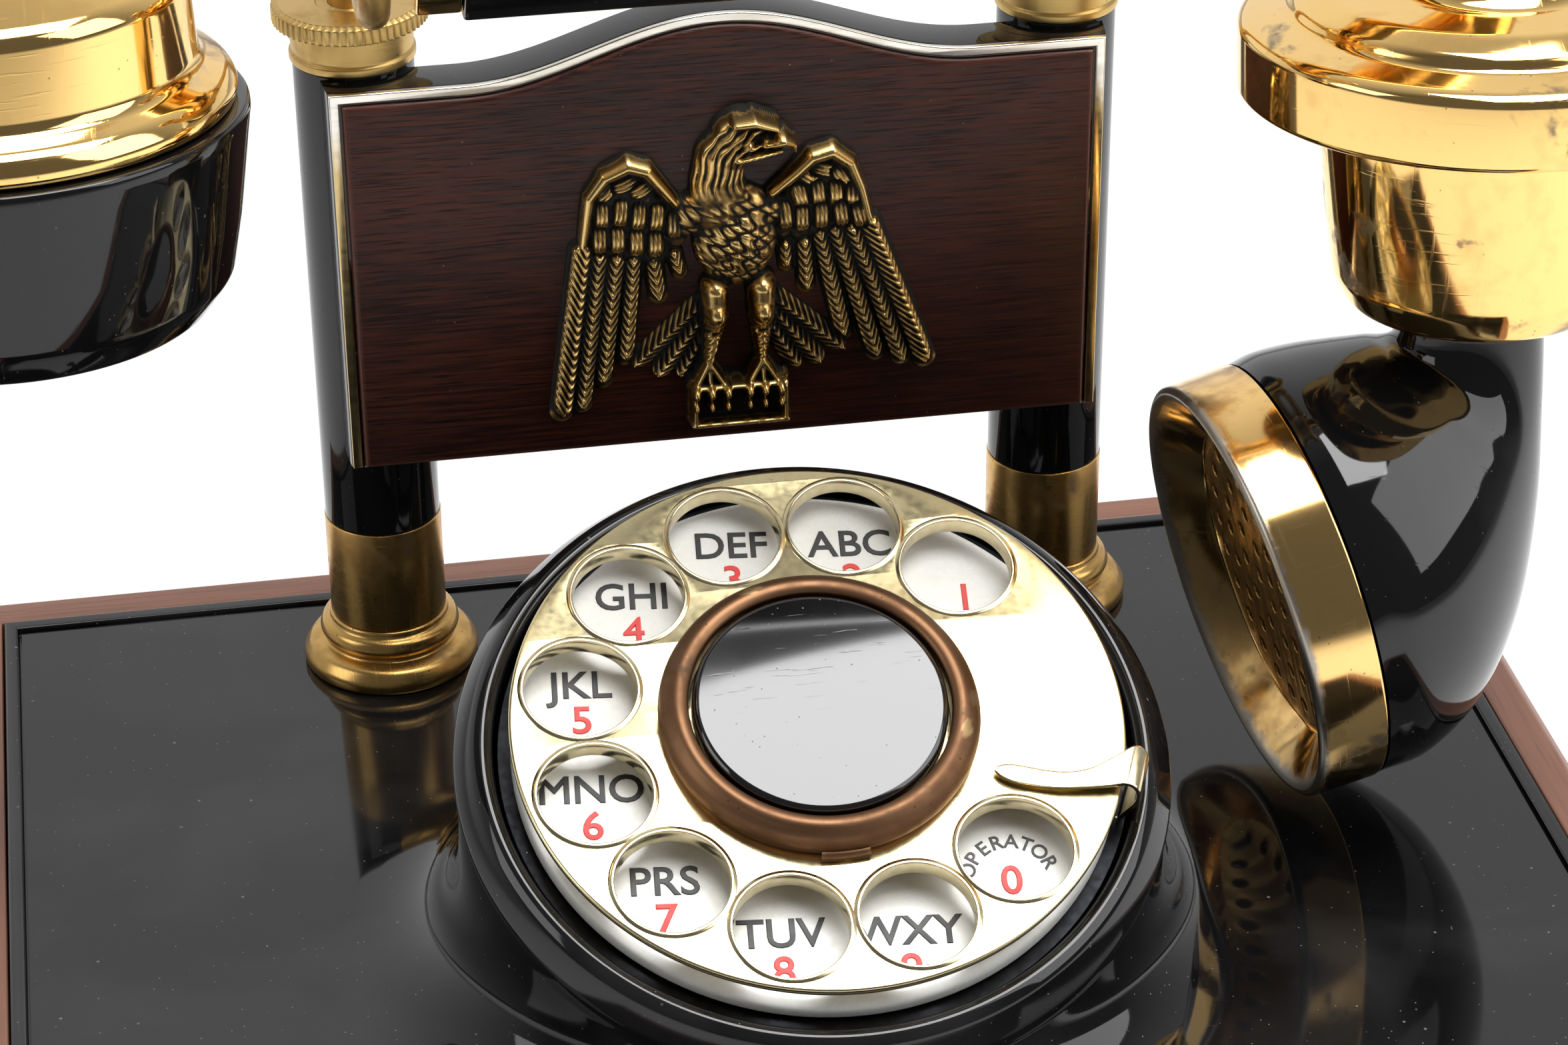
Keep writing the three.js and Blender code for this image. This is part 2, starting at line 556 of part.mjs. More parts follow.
const ear = new THREE.Group();
ear.position.x = EAR_X;
handset.add(ear);
add('receiver_cap', turned([
  [0, 1], [20, -4], [22.5, -14], [25, -17], [28.9, -17], [29.2, -15.4], [28.2, -13.6], [25.4, -12.6],
  [24.8, -11.4], [24.6, -1.6], [23.8, -0.6], [19, 2.2], [12, 4.6], [8, 5.4], [7.4, 8], [0, 8]]), gold, ear);
const earHoles = Array.from({ length: 6 }, (_, i) =>
  cylinder(1.3, -60, -30, 8).translate(...clockwise((i * Math.PI) / 3, 6), 0));
add('receiver_cup', cut(toSolid(turned([
  [0, -39.5], [23.6, -39.5], [25.4, -37], [27.4, -17.3], [30.5, -17.3], [30.3, -20], [28.6, -31],
  [27.2, -38.5], [24.2, -42.6], [20, -44], [13, -43], [0, -42.4]])), ...earHoles), black, ear);
add('receiver_capsule', turned([[0, -38], [21.6, -38], [21.6, -27], [15, -25], [0, -25]], 28), steel, ear);

const mouthHead = new THREE.Group();
mouthHead.position.x = MOUTH_X;
handset.add(mouthHead);
add('transmitter_flange', turned([
  [0, -15.4], [17, -18], [24, -21.5], [24, -29.4], [30.9, -29.4], [31.2, -28.8], [31.2, -20.6],
  [30.4, -19.9], [25, -19], [24.2, -17.4], [21.4, -15.6], [15, -14.6], [13.4, -13.4], [13.2, -11.8],
  [11.2, -10.8], [0, -10.8]]), gold, mouthHead);
add('transmitter_cup', turned([
  [0, -59], [14, -59], [16.8, -57.4], [18.3, -54], [19.6, -45], [21.2, -29.7], [19.4, -29.7],
  [17.6, -46], [15.6, -56], [0, -56.6]]), gold, mouthHead);
add('handset_cord_bush', turned([[1.2, 0], [3.4, 0], [3, 4], [1.2, 4]], 14)
  .rotateX(-Math.PI / 2).translate(0, 20.7, -45), rubber, mouthHead);

// ---- horn and mouthpiece ----
const elbow = new THREE.Group();
elbow.rotation.z = ELBOW_TWIST;
mouthHead.add(elbow);
// Outer and inner edge of the horn, as [x, z] pairs in the elbow's plane: each pair is one diameter.
const hornEdges = [
  [[9.2, -59.3], [-9.2, -59.3]],
  [[9.4, -72], [-10.2, -63.4]],
  [[8.5, -86], [-13.4, -63.5]],
  [[5.2, -100.6], [-17.5, -63.8]],
  [[-0.8, -112.4], [-21.5, -64.2]],
  [[-8.8, -119.6], [-26, -65]],
  [[-16.4, -121.9], [-29.2, -66.3]],
];
const hornSections = hornEdges.map(([outer, inner]) => {
  const [o, i] = [outer, inner].map(([x, z]) => new THREE.Vector3(x, 0, z));
  const middle = o.clone().add(i).multiplyScalar(0.5);
  return { middle, u: o.clone().sub(i).normalize(), radius: o.distanceTo(i) / 2 };
});
const hornEnd = hornSections[hornSections.length - 1];
const faceOut = new THREE.Vector3().crossVectors(yAxis, hornEnd.u).normalize(); // out of the mouthpiece
const mouthpiece = new THREE.Group();
mouthpiece.position.copy(hornEnd.middle).addScaledVector(faceOut, GAP + RING_W);
mouthpiece.quaternion.setFromUnitVectors(new THREE.Vector3(0, 0, 1), faceOut);
elbow.add(mouthpiece);
mouthpiece.updateMatrix();
const capsuleRoom = cylinder(23.5, -RING_W - 6, -RING_W + 6, 30).applyMatrix4(mouthpiece.matrix);
const horn = loft(hornSections.map((s) => circle(s.middle, s.u, yAxis, s.radius, 24)));
add('horn_elbow', cut(toSolid(horn), capsuleRoom), black, elbow);
add('mouthpiece_ring', turned([
  [21.4, -5], [24.4, -2.6], [26.8, -0.4], [27.8, 0], [28.4, -0.5], [28.6, -RING_W], [25.6, -RING_W],
  [25.2, -4.8], [21.4, -6]], 32), gold, mouthpiece);
const grilleHoles = [[0, 1], [6, 6], [12, 12]].flatMap(([radius, count]) =>
  Array.from({ length: count }, (_, i) =>
    cylinder(1, -9, 0, 6).translate(...clockwise((2 * Math.PI * i) / count, radius), 0)));
add('mouthpiece_grille', cut(toSolid(cylinder(GRILLE_R, -6.9, -5.6)), ...grilleHoles), agedBrass, mouthpiece);
add('transmitter_capsule', turned([
  [0, -14], [17, -14], [20.5, -12], [20.5, -7.4], [0, -7.4]], 28), steel, mouthpiece);

// ---- ringer, hook switch and network inside the plinth ----
bothSides((name, side) => {
  const gong = turned([
    [0, FLOOR_Z + 20], [4, FLOOR_Z + 20], [16, FLOOR_Z + 15], [21, FLOOR_Z + 6], [22.2, FLOOR_Z + 6],
    [17, FLOOR_Z + 16.4], [4.6, FLOOR_Z + 21.4], [0, FLOOR_Z + 21.4]], 28);
  add(`ringer_gong_${name}`, gong.translate(side * GONG_X, GONG_Y, 0), agedBrass);
});
const winding = (low, high) => alongX(cylinder(7, low, high, 20)).translate(0, COIL_Y, FLOOR_Z + 10);
add('ringer_coil', join(
  box(-24, 24, COIL_Y + 6, COIL_Y + 9, FLOOR_Z, FLOOR_Z + 20),
  box(-24, 24, COIL_Y - 1, COIL_Y + 7, FLOOR_Z + 7, FLOOR_Z + 13),
  winding(-20, -2), winding(2, 20)), copper);
add('ringer_clapper', join(
  cylinder(2.2, FLOOR_Z + 8, FLOOR_Z + 14, 14).translate(0, CLAPPER_Y, 0),
  box(-0.8, 0.8, CLAPPER_Y, GONG_Y - 4, FLOOR_Z + 10, FLOOR_Z + 12),
  ball(2.6, 0, GONG_Y - 3, FLOOR_Z + 11)), paleBrass);
add('network_block', box(40, 84, -52, -8, FLOOR_Z, FLOOR_Z + 16), phenolic);
add('terminal_block', box(-84, -50, -40, -16, FLOOR_Z, FLOOR_Z + 9), phenolic);

const leverLow = LEVER_TOP - LEVER_T;
add('hook_switch_lever', join(
  box(-POST_X - 4.75, POST_X + 4.75, POST_Y - 4, POST_Y + 4, leverLow, LEVER_TOP),
  box(-12, 12, LEVER_Y, POST_Y, leverLow, LEVER_TOP),
  alongX(cylinder(LEVER_PIN_R, -14, 14, 14)).translate(0, LEVER_Y, LEVER_TOP - 1)), steel);
const cheek = (x) => box(x, x + 3.4, LEVER_Y - 4, LEVER_Y + 4, FLOOR_Z, LEVER_TOP + 3);
add('hook_switch_bracket', join(
  cheek(-18), cheek(14.6), box(-18, 18, LEVER_Y - 4, LEVER_Y + 4, FLOOR_Z, FLOOR_Z + 2)), steel);
add('hook_switch_contacts', box(-6, 6, POST_Y - 3, POST_Y + 5, FLOOR_Z, leverLow - 2), phenolic);

export default phone;
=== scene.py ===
"""French-style cradle telephone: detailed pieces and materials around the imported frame. Sizes in millimetres."""

import json
import math

import bmesh
import bpy
import numpy as np
from mathutils import Matrix, Vector


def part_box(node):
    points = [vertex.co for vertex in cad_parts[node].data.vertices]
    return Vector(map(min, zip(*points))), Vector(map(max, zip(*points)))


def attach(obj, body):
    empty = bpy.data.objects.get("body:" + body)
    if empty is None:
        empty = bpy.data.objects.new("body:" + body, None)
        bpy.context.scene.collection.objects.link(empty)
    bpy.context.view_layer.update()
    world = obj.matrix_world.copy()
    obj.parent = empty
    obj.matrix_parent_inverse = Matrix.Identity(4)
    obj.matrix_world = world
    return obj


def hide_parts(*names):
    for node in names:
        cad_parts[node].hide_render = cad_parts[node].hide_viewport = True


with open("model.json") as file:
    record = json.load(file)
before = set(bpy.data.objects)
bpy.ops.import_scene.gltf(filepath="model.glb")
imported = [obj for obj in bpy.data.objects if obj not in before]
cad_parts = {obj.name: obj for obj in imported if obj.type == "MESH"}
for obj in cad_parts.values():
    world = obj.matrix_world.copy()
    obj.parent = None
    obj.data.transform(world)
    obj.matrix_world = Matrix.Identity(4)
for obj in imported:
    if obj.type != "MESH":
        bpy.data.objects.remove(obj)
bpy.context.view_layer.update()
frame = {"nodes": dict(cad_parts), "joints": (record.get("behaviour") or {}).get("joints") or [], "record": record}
MM = 0.001
UP = Vector((0, 0, 1))


# ---- driving dimensions, read from the frame ----
def node_box(name):
    low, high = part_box(name)
    return low / MM, high / MM


def middle(name):
    low, high = node_box(name)
    return (low + high) / 2


def joint(name):
    return next(j for j in frame["joints"] if j["name"] == name)


GAP = 0.3
BASE_LOW, BASE_HIGH = node_box("wood_plinth_frame")
WOOD_WALL = 6.7
WOOD_BEVEL = 1.6
PANEL_HIGH = node_box("black_top_panel")[1]
PANEL_Z = node_box("foot_flange_left")[0].z - GAP
LIP_W = 2.4
LIP_H = 0.7
DIAL = Vector(joint("dial_turn")["pos_m"]) / MM
DIAL_TILT = math.atan2(-joint("dial_turn")["axis"][1], joint("dial_turn")["axis"][2])
WHEEL_R = node_box("finger_wheel")[1].x
WHEEL_T = 1.2
HOLE_R = 7.05
HOLE_PITCH_R = 29.6
HOLE_STEP = 30
FIRST_HOLE = 45.5
STOP_ANGLE = 112
PLATE_R = node_box("number_plate")[1].x
PLATE_DEPTH = 5
PLATE_TURN = math.radians(4.6)
BEZEL_IN = 40
BEZEL_OUT = 44.9
FRAME_R = 39.5
FRAME_LOW = -8.3
POST = middle("pillar_right")
POST_R = 8
POST_TOP = node_box("pillar_right")[1].z
CAP_LOW, CAP_HIGH = node_box("knurled_cap_right")
CAP_R = (CAP_HIGH.x - CAP_LOW.x) / 2
SHEET_LOW, SHEET_HIGH = node_box("upright_panel")
SHEET_T = SHEET_HIGH.y - SHEET_LOW.y
HUMP = 7.6
HUMP_X = 34
SHOULDER_Z = SHEET_HIGH.z - HUMP
HAND = middle("handset_grip")
HAND_ROLL = math.radians(-5)
GRIP_HALF = node_box("handset_grip")[1].x
GRIP_R = 10.4
FERRULE_L = 5.6
NECK_R = 5.5
EAR_X = middle("receiver_cap").x
MOUTH_X = middle("transmitter_flange").x
ELBOW_TWIST = math.radians(5.5)
RING_W = 9.4
EAGLE_X = 1.5
EAGLE_Z = node_box("brass_eagle")[0].z


# ---- geometry ----
def sharpen(mesh, angle):
    """Smooth shading, broken at edges sharper than the angle in degrees."""
    bm = bmesh.new()
    bm.from_mesh(mesh)
    bmesh.ops.recalc_face_normals(bm, faces=bm.faces)
    limit = math.radians(angle)
    for face in bm.faces:
        face.smooth = True
    for edge in bm.edges:
        edge.smooth = len(edge.link_faces) == 2 and edge.calc_face_angle(0) < limit
    bm.to_mesh(mesh)
    bm.free()


def piece(name, parts, material, body, place=Matrix.Identity(4), nodes=(), angle=38):
    """A mesh object from (points, faces) parts in its own millimetres, placed and riding on a body."""
    points, faces = [], []
    for part_points, part_faces in parts if isinstance(parts, list) else [parts]:
        start = len(points)
        points.extend(part_points)
        faces.extend([start + i for i in face] for face in part_faces)
    mesh = bpy.data.meshes.new(name)
    mesh.from_pydata([tuple(c * MM for c in p) for p in points], [], faces)
    bm = bmesh.new()
    bm.from_mesh(mesh)
    bmesh.ops.remove_doubles(bm, verts=bm.verts, dist=2e-7)
    bm.to_mesh(mesh)
    bm.free()
    sharpen(mesh, angle)
    return settle(bpy.data.objects.new(name, mesh), material, body, place, nodes)


def settle(obj, material, body, place, nodes):
    bpy.context.scene.collection.objects.link(obj)
    obj.data.materials.clear()
    obj.data.materials.append(material)
    shift = place.to_translation() * MM
    obj.matrix_world = Matrix.Translation(shift) @ place.to_quaternion().to_matrix().to_4x4()
    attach(obj, body)
    if nodes:
        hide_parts(*([nodes] if isinstance(nodes, str) else nodes))
    return obj


def rounded(outline, radius=0.3, steps=4, closed=True):
    """The outline with each corner turned into a short arc."""
    count = len(outline)
    result = []
    for i, corner in enumerate(outline):
        if not closed and i in (0, count - 1):
            result.append(tuple(corner))
            continue
        p = Vector(corner)
        a, b = Vector(outline[i - 1]) - p, Vector(outline[(i + 1) % count]) - p
        reach = min(radius, a.length * 0.45, b.length * 0.45)
        if a.length < 1e-6 or b.length < 1e-6 or abs(a.angle(b) - math.pi) < 0.05:
            result.append(tuple(p))
            continue
        start, end = p + a.normalized() * reach, p + b.normalized() * reach
        for k in range(steps + 1):
            t = k / steps
            result.append(tuple((1 - t) ** 2 * start + 2 * t * (1 - t) * p + t * t * end))
    return result


def turned(profile, radius=0.3, segments=96, wobble=None):
    """A closed solid of revolution about Z from (radius, height) corners, with rounded corners."""
    on_axis = profile[0][0] == 0
    outline = rounded(profile, radius, closed=not on_axis)
    points, faces = [], []
    rows = len(outline)
    for i in range(segments):
        a = 2 * math.pi * i / segments
        for r, z in outline:
            grown = r + (wobble(a, r, z) if wobble and r > 0 else 0)
            points.append((grown * math.cos(a), grown * math.sin(a), z))
    for i in range(segments):
        j = (i + 1) % segments
        for k in range(rows if not on_axis else rows - 1):
            m = (k + 1) % rows
            faces.append([i * rows + k, j * rows + k, j * rows + m, i * rows + m])
    return points, faces


def skin(rings, closed_ends=True, loop=True):
    """Quads over rings with the same number of points."""
    count = len(rings[0])
    points = [tuple(p) for ring in rings for p in ring]
    faces = []
    for k in range(len(rings) - 1):
        for i in range(count if loop else count - 1):
            j = (i + 1) % count
            faces.append([k * count + i, k * count + j, (k + 1) * count + j, (k + 1) * count + i])
    if closed_ends:
        faces.append(list(range(count)))
        faces.append([(len(rings) - 1) * count + i for i in range(count)])
    return points, faces


def spline(points, count):
    """Evenly numbered points on a Catmull-Rom curve through the given ones."""
    p = [Vector(q) for q in points]
    p = [2 * p[0] - p[1], *p, 2 * p[-1] - p[-2]]
    result = []
    spans = len(p) - 3
    for k in range(count):
        t = k / (count - 1) * spans
        i = min(int(t), spans - 1)
        t -= i
        a, b, c, d = p[i : i + 4]
        result.append(
            0.5 * (2 * b + (c - a) * t + (2 * a - 5 * b + 4 * c - d) * t * t + (3 * b - a - 3 * c + d) * t**3)
        )
    return result


def tube(points, radius_at, sides=24, count=60, flat=1.0):
    """A round bar along a curve through the points."""
    path = spline(points, count)
    rings = []
    side = None
    for k, p in enumerate(path):
        ahead = (path[min(k + 1, count - 1)] - path[max(k - 1, 0)]).normalized()
        if side is None:
            side = ahead.orthogonal().normalized()
        side = (side - ahead * side.dot(ahead)).normalized()
        other = ahead.cross(side)
        r = radius_at(k / (count - 1))
        rings.append(
            [
                p + side * r * math.cos(a) + other * r * flat * math.sin(a)
                for a in (2 * math.pi * i / sides for i in range(sides))
            ]
        )
    return skin(rings)


def ball(centre, radius, rows=14, stretch=(1, 1, 1)):
    """A closed ball built from turned rings."""
    arc = [(radius * math.sin(math.pi * k / rows),
        -radius * math.cos(math.pi * k / rows)) for k in range(rows + 1)]
    arc[0], arc[-1] = (0, -radius), (0, radius)
    points, faces = turned(arc, radius=0, segments=2 * rows)
    return [tuple(c + s * v for c, s, v in zip(centre, stretch, p)) for p in points], faces


def plate(name, outlines, thickness, edge, material, body, place, nodes=(), angle=30):
    """A flat plate from closed outlines (the first is the outside, the rest are holes) with rounded
    edges, from z 0 down.
    """
    curve = bpy.data.curves.new(name, "CURVE")
    curve.dimensions = "2D"
    curve.fill_mode = "BOTH"
    curve.extrude = (thickness / 2 - edge) * MM
    curve.bevel_depth = edge * MM
    curve.bevel_resolution = 3
    curve.offset = -edge * MM
    for outline in outlines:
        path = curve.splines.new("POLY")
        path.points.add(len(outline) - 1)
        for point, (x, y) in zip(path.points, outline):
            point.co = (x * MM, y * MM, 0, 1)
        path.use_cyclic_u = True
    holder = bpy.data.objects.new(name + "_curve", curve)
    bpy.context.scene.collection.objects.link(holder)
    mesh = bpy.data.meshes.new_from_object(holder.evaluated_get(bpy.context.evaluated_depsgraph_get()))
    bpy.data.objects.remove(holder)
    mesh.transform(Matrix.Translation((0, 0, -thickness / 2 * MM)))
    mesh.name = name
    bm = bmesh.new()
    bm.from_mesh(mesh)
    bmesh.ops.remove_doubles(bm, verts=bm.verts, dist=2e-6)
    bm.to_mesh(mesh)
    bm.free()
    sharpen(mesh, angle)
    return settle(bpy.data.objects.new(name, mesh), material, body, place, nodes)


def circle(radius, count=96, x=0.0, y=0.0):
    return [
        (x + radius * math.cos(2 * math.pi * i / count), y + radius * math.sin(2 * math.pi * i / count))
        for i in range(count)
    ]


def clockwise(angle, radius):
    return radius * math.sin(math.radians(angle)), radius * math.cos(math.radians(angle))


# ---- materials ----
class Look:
    """A node material; numbers, colours and sockets are given alike as inputs."""

    def __init__(self, name, slot, **inputs):
        self.material = bpy.data.materials.new(name)
        self.material.use_nodes = True
        self.material["slot"] = slot
        self.tree = self.material.node_tree
        self.shader = self.tree.nodes["Principled BSDF"]
        self.coords = self.tree.nodes.new("ShaderNodeTexCoord").outputs["Object"]
        self.set(self.shader, inputs)

    def set(self, node, inputs):
        for key, value in inputs.items():
            socket = node.inputs[key]
            if isinstance(value, bpy.types.NodeSocket):
                self.tree.links.new(value, socket)
            elif socket.type == "RGBA" and len(value) == 3:
                socket.default_value = (*value, 1)
            else:
                socket.default_value = value

    def node(self, kind, inputs, **settings):
        node = self.tree.nodes.new("ShaderNode" + kind)
        for key, value in settings.items():
            setattr(node, key, value)
        self.set(node, inputs)
        return node

    def stretched(self, scale):
        return self.node("Mapping", {"Vector": self.coords, "Scale": scale}).outputs["Vector"]

    def noise(self, scale, detail=4.0, stretch=(1, 1, 1), distortion=0.0):
        inputs = {"Vector": self.stretched(stretch), "Scale": scale, "Detail": detail, "Distortion": distortion}
        return self.node("TexNoise", inputs).outputs["Fac"]

    def ramp(self, value, low, high, start=0.0, end=1.0):
        """The value from low to high carried to the range start to end."""
        inputs = {"Value": value, "From Min": low, "From Max": high, "To Min": start, "To Max": end}
        return self.node("MapRange", inputs).outputs["Result"]

    def mix(self, factor, a, b):
        return self.node("Mix", {0: factor, 6: a, 7: b}, data_type="RGBA").outputs[2]

    def times(self, a, b):
        return self.node("Math", {0: a, 1: b}, operation="MULTIPLY").outputs[0]

    def plus(self, a, b):
        return self.node("Math", {0: a, 1: b}, operation="ADD").outputs[0]

    def larger(self, a, b):
        return self.node("Math", {0: a, 1: b}, operation="MAXIMUM").outputs[0]

    def dots(self, scale, size, share=0.5):
        """Scattered specks: 1 inside a speck, 0 outside."""
        cells = self.node("TexVoronoi", {"Vector": self.coords, "Scale": scale})
        near = self.ramp(cells.outputs["Distance"], size, size * 0.6)
        pick = self.node("SeparateColor", {"Color": cells.outputs["Color"]}).outputs[0]
        return self.times(near, self.ramp(pick, 1 - share, 1 - share + 0.02))

    def bump(self, height, strength, distance):
        inputs = {"Height": height, "Strength": strength, "Distance": distance * MM}
        return self.node("Bump", inputs).outputs["Normal"]

    def along(self, axis):
        """The place along one of the piece's own axes, in metres."""
        return self.node("SeparateXYZ", {"Vector": self.coords}).outputs[axis]

    def edges(self, low, high):
        """High on convex edges."""
        return self.ramp(self.node("NewGeometry", {}).outputs["Pointiness"], low, high)


TARNISH = (0.16, 0.145, 0.12)


def metal(name, slot, clean, stained, worn, rough, stain=0.6, scratch=0.25, wear=0.5, tarnish=0.75, rim=None):
    """Plated or aged metal; past the rim height (in mm along its own Z) it is rubbed down to grey."""
    look = Look(name, slot, Metallic=1.0)
    cloud = look.noise(55, 6, distortion=0.6)
    fine = look.noise(420, 5)
    patches = look.ramp(look.plus(look.times(cloud, 0.7), look.times(fine, 0.3)), 0.5, 0.68, 0, stain)
    tone = look.mix(patches, clean, stained)
    rubbed = look.times(look.edges(0.52, 0.6), look.ramp(look.noise(160, 5), 0.42, 0.6, 0, wear))
    tone = look.mix(rubbed, tone, worn)
    pits = look.dots(900, 0.15, 0.12)
    tone = look.mix(look.times(pits, 0.7), tone, tuple(0.25 * c for c in stained))
    bare = look.times(look.ramp(look.noise(75, 7, distortion=0.9), 0.6, 0.66), look.ramp(fine, 0.4, 0.55))
    tone = look.mix(look.times(bare, tarnish), tone, TARNISH)
    lines = look.larger(look.noise(90, 3, (1, 1, 26)), look.noise(70, 3, (22, 1, 1)))
    lines = look.ramp(lines, 0.62, 0.7)
    if rim:
        front = look.plus(look.along("Z"), look.ramp(fine, 0.3, 0.7, -0.0004, 0.0004))
        front = look.ramp(front, (rim - 0.5) * MM, (rim + 0.3) * MM)
        tone = look.mix(front, tone, (0.5, 0.46, 0.4))
        bare = look.larger(bare, front)
    marks = look.plus(look.times(lines, 0.05), look.times(bare, 0.22))
    wet = look.plus(look.ramp(patches, 0, 1, rough, rough + 0.22), marks)
    look.set(look.shader, {"Base Color": tone, "Roughness": wet})
    look.set(look.shader, {"Normal": look.bump(look.plus(lines, look.times(fine, 0.5)), scratch, 0.01)})
    return look.material


def lacquer(name, rough=0.05, dust=0.5, shine=0.5, film=0.011):
    look = Look(name, "black_gloss", **{"Specular IOR Level": shine})
    haze = look.ramp(look.noise(28, 6, distortion=0.4), 0.45, 0.75)
    specks = look.larger(look.dots(420, 0.1, 0.16), look.dots(1300, 0.16, 0.1))
    tone = look.mix(look.times(haze, 0.7), (0.0045, 0.0045, 0.005), (film, film, 1.05 * film))
    tone = look.mix(look.times(specks, dust), tone, (0.32, 0.31, 0.29))
    lines = look.ramp(look.noise(140, 2, (1, 18, 1)), 0.66, 0.7)
    wet = look.plus(look.ramp(haze, 0, 1, rough, rough + 0.07), look.times(specks, 0.4))
    look.set(look.shader, {"Base Color": tone, "Roughness": wet})
    height = look.plus(look.times(specks, 0.6), look.times(look.noise(60, 2), 0.5))
    look.set(look.shader, {"Normal": look.bump(look.plus(height, look.times(lines, -0.3)), 0.12, 0.03)})
    return look.material


def timber(name, slot, dark, light, pore, rough, fine=1600, shine=0.4):
    """Polished wood with its grain along X: broad bands, fine fibres and short open pores."""
    look = Look(name, slot, **{"Specular IOR Level": shine})
    bands = look.noise(45, 5, (0.3, 1, 2.6), 0.8)
    fibre = look.noise(fine, 5, (0.045, 1, 1))
    tone = look.mix(look.ramp(look.plus(look.times(bands, 0.35), look.times(fibre, 0.65)), 0.4, 0.62), dark,
        light)
    pores = look.ramp(look.noise(1.8 * fine, 2, (0.035, 1, 1)), 0.57, 0.64)
    tone = look.mix(look.times(pores, 0.85), tone, pore)
    tone = look.mix(look.times(look.dots(900, 0.13, 0.06), 0.5), tone, (0.35, 0.28, 0.24))
    # Every convex edge is made lighter: partly worn finish, partly a painted edge highlight.
    worn = look.times(look.edges(0.52, 0.58), 0.6)
    tone = look.mix(worn, tone, tuple(min(1, 1.7 * c + 0.03) for c in light))
    look.set(look.shader, {"Base Color": tone, "Roughness": look.ramp(fibre, 0.3, 0.7, rough, rough + 0.15)})
    height = look.plus(look.times(pores, -1), look.times(fibre, 0.35))
    look.set(look.shader, {"Normal": look.bump(height, 0.4, 0.04)})
    return look.material


def brushed(name, slot, light, dark, rough, stretch, relief=0.2, low=None, low_at=0.0):
    """Fine drawn or spun metal; below a height (in mm along its own Y) it may turn to another tone."""
    look = Look(name, slot, Metallic=1.0, Anisotropic=0.3)
    lines = look.noise(900, 4, stretch)
    cloud = look.noise(70, 5)
    tone = look.mix(look.ramp(look.plus(look.times(lines, 0.5), look.times(cloud, 0.5)), 0.4, 0.62), light,
        dark)
    if low:
        ragged = look.plus(look.along("Y"), look.ramp(cloud, 0.3, 0.7, -0.002, 0.002))
        down = look.ramp(ragged, low_at * MM, (low_at - 5) * MM)
        tone = look.mix(down, tone, low)
    tone = look.mix(look.times(look.dots(1100, 0.13, 0.14), 0.6), tone, tuple(0.45 * c for c in dark))
    # Scattered near-white specks in the metal colour: painted glints.
    tone = look.mix(look.times(look.dots(700, 0.1, 0.1), 0.7), tone, (1, 0.95, 0.8))
    look.set(look.shader, {"Base Color": tone, "Roughness": look.ramp(lines, 0.3, 0.7, rough, rough + 0.08)})
    look.set(look.shader, {"Normal": look.bump(lines, relief, 0.01)})
    return look.material


def plain(name, slot, tone, other, rough, grain=300, depth=0.03, strength=0.3):
    look = Look(name, slot)
    cloud = look.noise(45, 6)
    fine = look.noise(grain, 4)
    mixed = look.mix(look.ramp(look.plus(look.times(cloud, 0.6), look.times(fine, 0.4)), 0.4, 0.65), tone,
        other)
    look.set(look.shader, {"Base Color": mixed, "Roughness": look.ramp(fine, 0.3, 0.7, rough, rough + 0.15)})
    look.set(look.shader, {"Normal": look.bump(fine, strength, depth)})
    return look.material


WOOD = timber("plinth_wood", "wood", (0.085, 0.032, 0.018), (0.19, 0.08, 0.047), (0.03, 0.011, 0.007), 0.32,
    900)
DARK_WOOD = timber("plaque_wood", "dark_wood", (0.02, 0.0068, 0.0048), (0.085, 0.02, 0.0095),
    (0.006, 0.0025, 0.002), 0.3, 1900, 0.3)
BLACK = lacquer("black_top_lacquer", 0.05, 0.5, 0.5, 0.03)
BLACK_CLEAN = lacquer("black_handset_lacquer", 0.04, 0.2)
BLACK_DISC = lacquer("black_disc_lacquer", 0.06, 0.12, 0.85)
GOLD = metal("gold_plate", "gold_plate", (1.0, 0.66, 0.24), (0.62, 0.32, 0.1), (0.5, 0.45, 0.38), 0.07, 0.5)
RING_GOLD = metal("mouthpiece_gold", "gold_plate", (0.95, 0.62, 0.24), (0.5, 0.27, 0.1), (0.4, 0.36, 0.3), 0.1,
    0.85, rim=-1.0)
BRASS = metal("aged_brass", "aged_brass", (0.6, 0.37, 0.12), (0.26, 0.135, 0.045), (0.85, 0.62, 0.28), 0.27,
    0.8, 0.3, tarnish=0.5)
RAW_BRASS = metal("raw_brass", "aged_brass", (0.62, 0.42, 0.15), (0.4, 0.25, 0.09), (0.95, 0.78, 0.42), 0.38,
    0.7, 0.9, tarnish=0.3)
PALE = brushed("pale_brass", "pale_brass", (0.82, 0.71, 0.42), (0.74, 0.62, 0.35), 0.17, (1, 1, 1), 0.04)
RIM_BRASS = brushed("rim_brass", "pale_brass", (0.84, 0.74, 0.48), (0.72, 0.6, 0.36), 0.11, (1, 1, 1), 0.03)
COPPER = metal("copper_brown", "copper_brown", (0.2, 0.105, 0.055), (0.12, 0.062, 0.034), (0.5, 0.36, 0.18),
    0.42, 0.8, 0.3, 0.9, 0.2)
ENAMEL = plain("white_enamel", "white_enamel", (0.84, 0.84, 0.81), (0.74, 0.72, 0.66), 0.22, 600, 0.01, 0.1)
INK_BLACK = plain("black_ink", "white_enamel", (0.008, 0.008, 0.008), (0.02, 0.02, 0.02), 0.35)
INK_RED = plain("red_ink", "white_enamel", (0.72, 0.02, 0.015), (0.62, 0.03, 0.02), 0.35)
SILVER = brushed("silver_trim", "silver_trim", (0.84, 0.81, 0.74), (0.66, 0.6, 0.5), 0.14, (0.05, 1, 1), 0.2,
    (0.66, 0.5, 0.24), 128)
STEEL = brushed("steel", "steel", (0.5, 0.51, 0.53), (0.36, 0.37, 0.38), 0.3, (0.05, 1, 1))
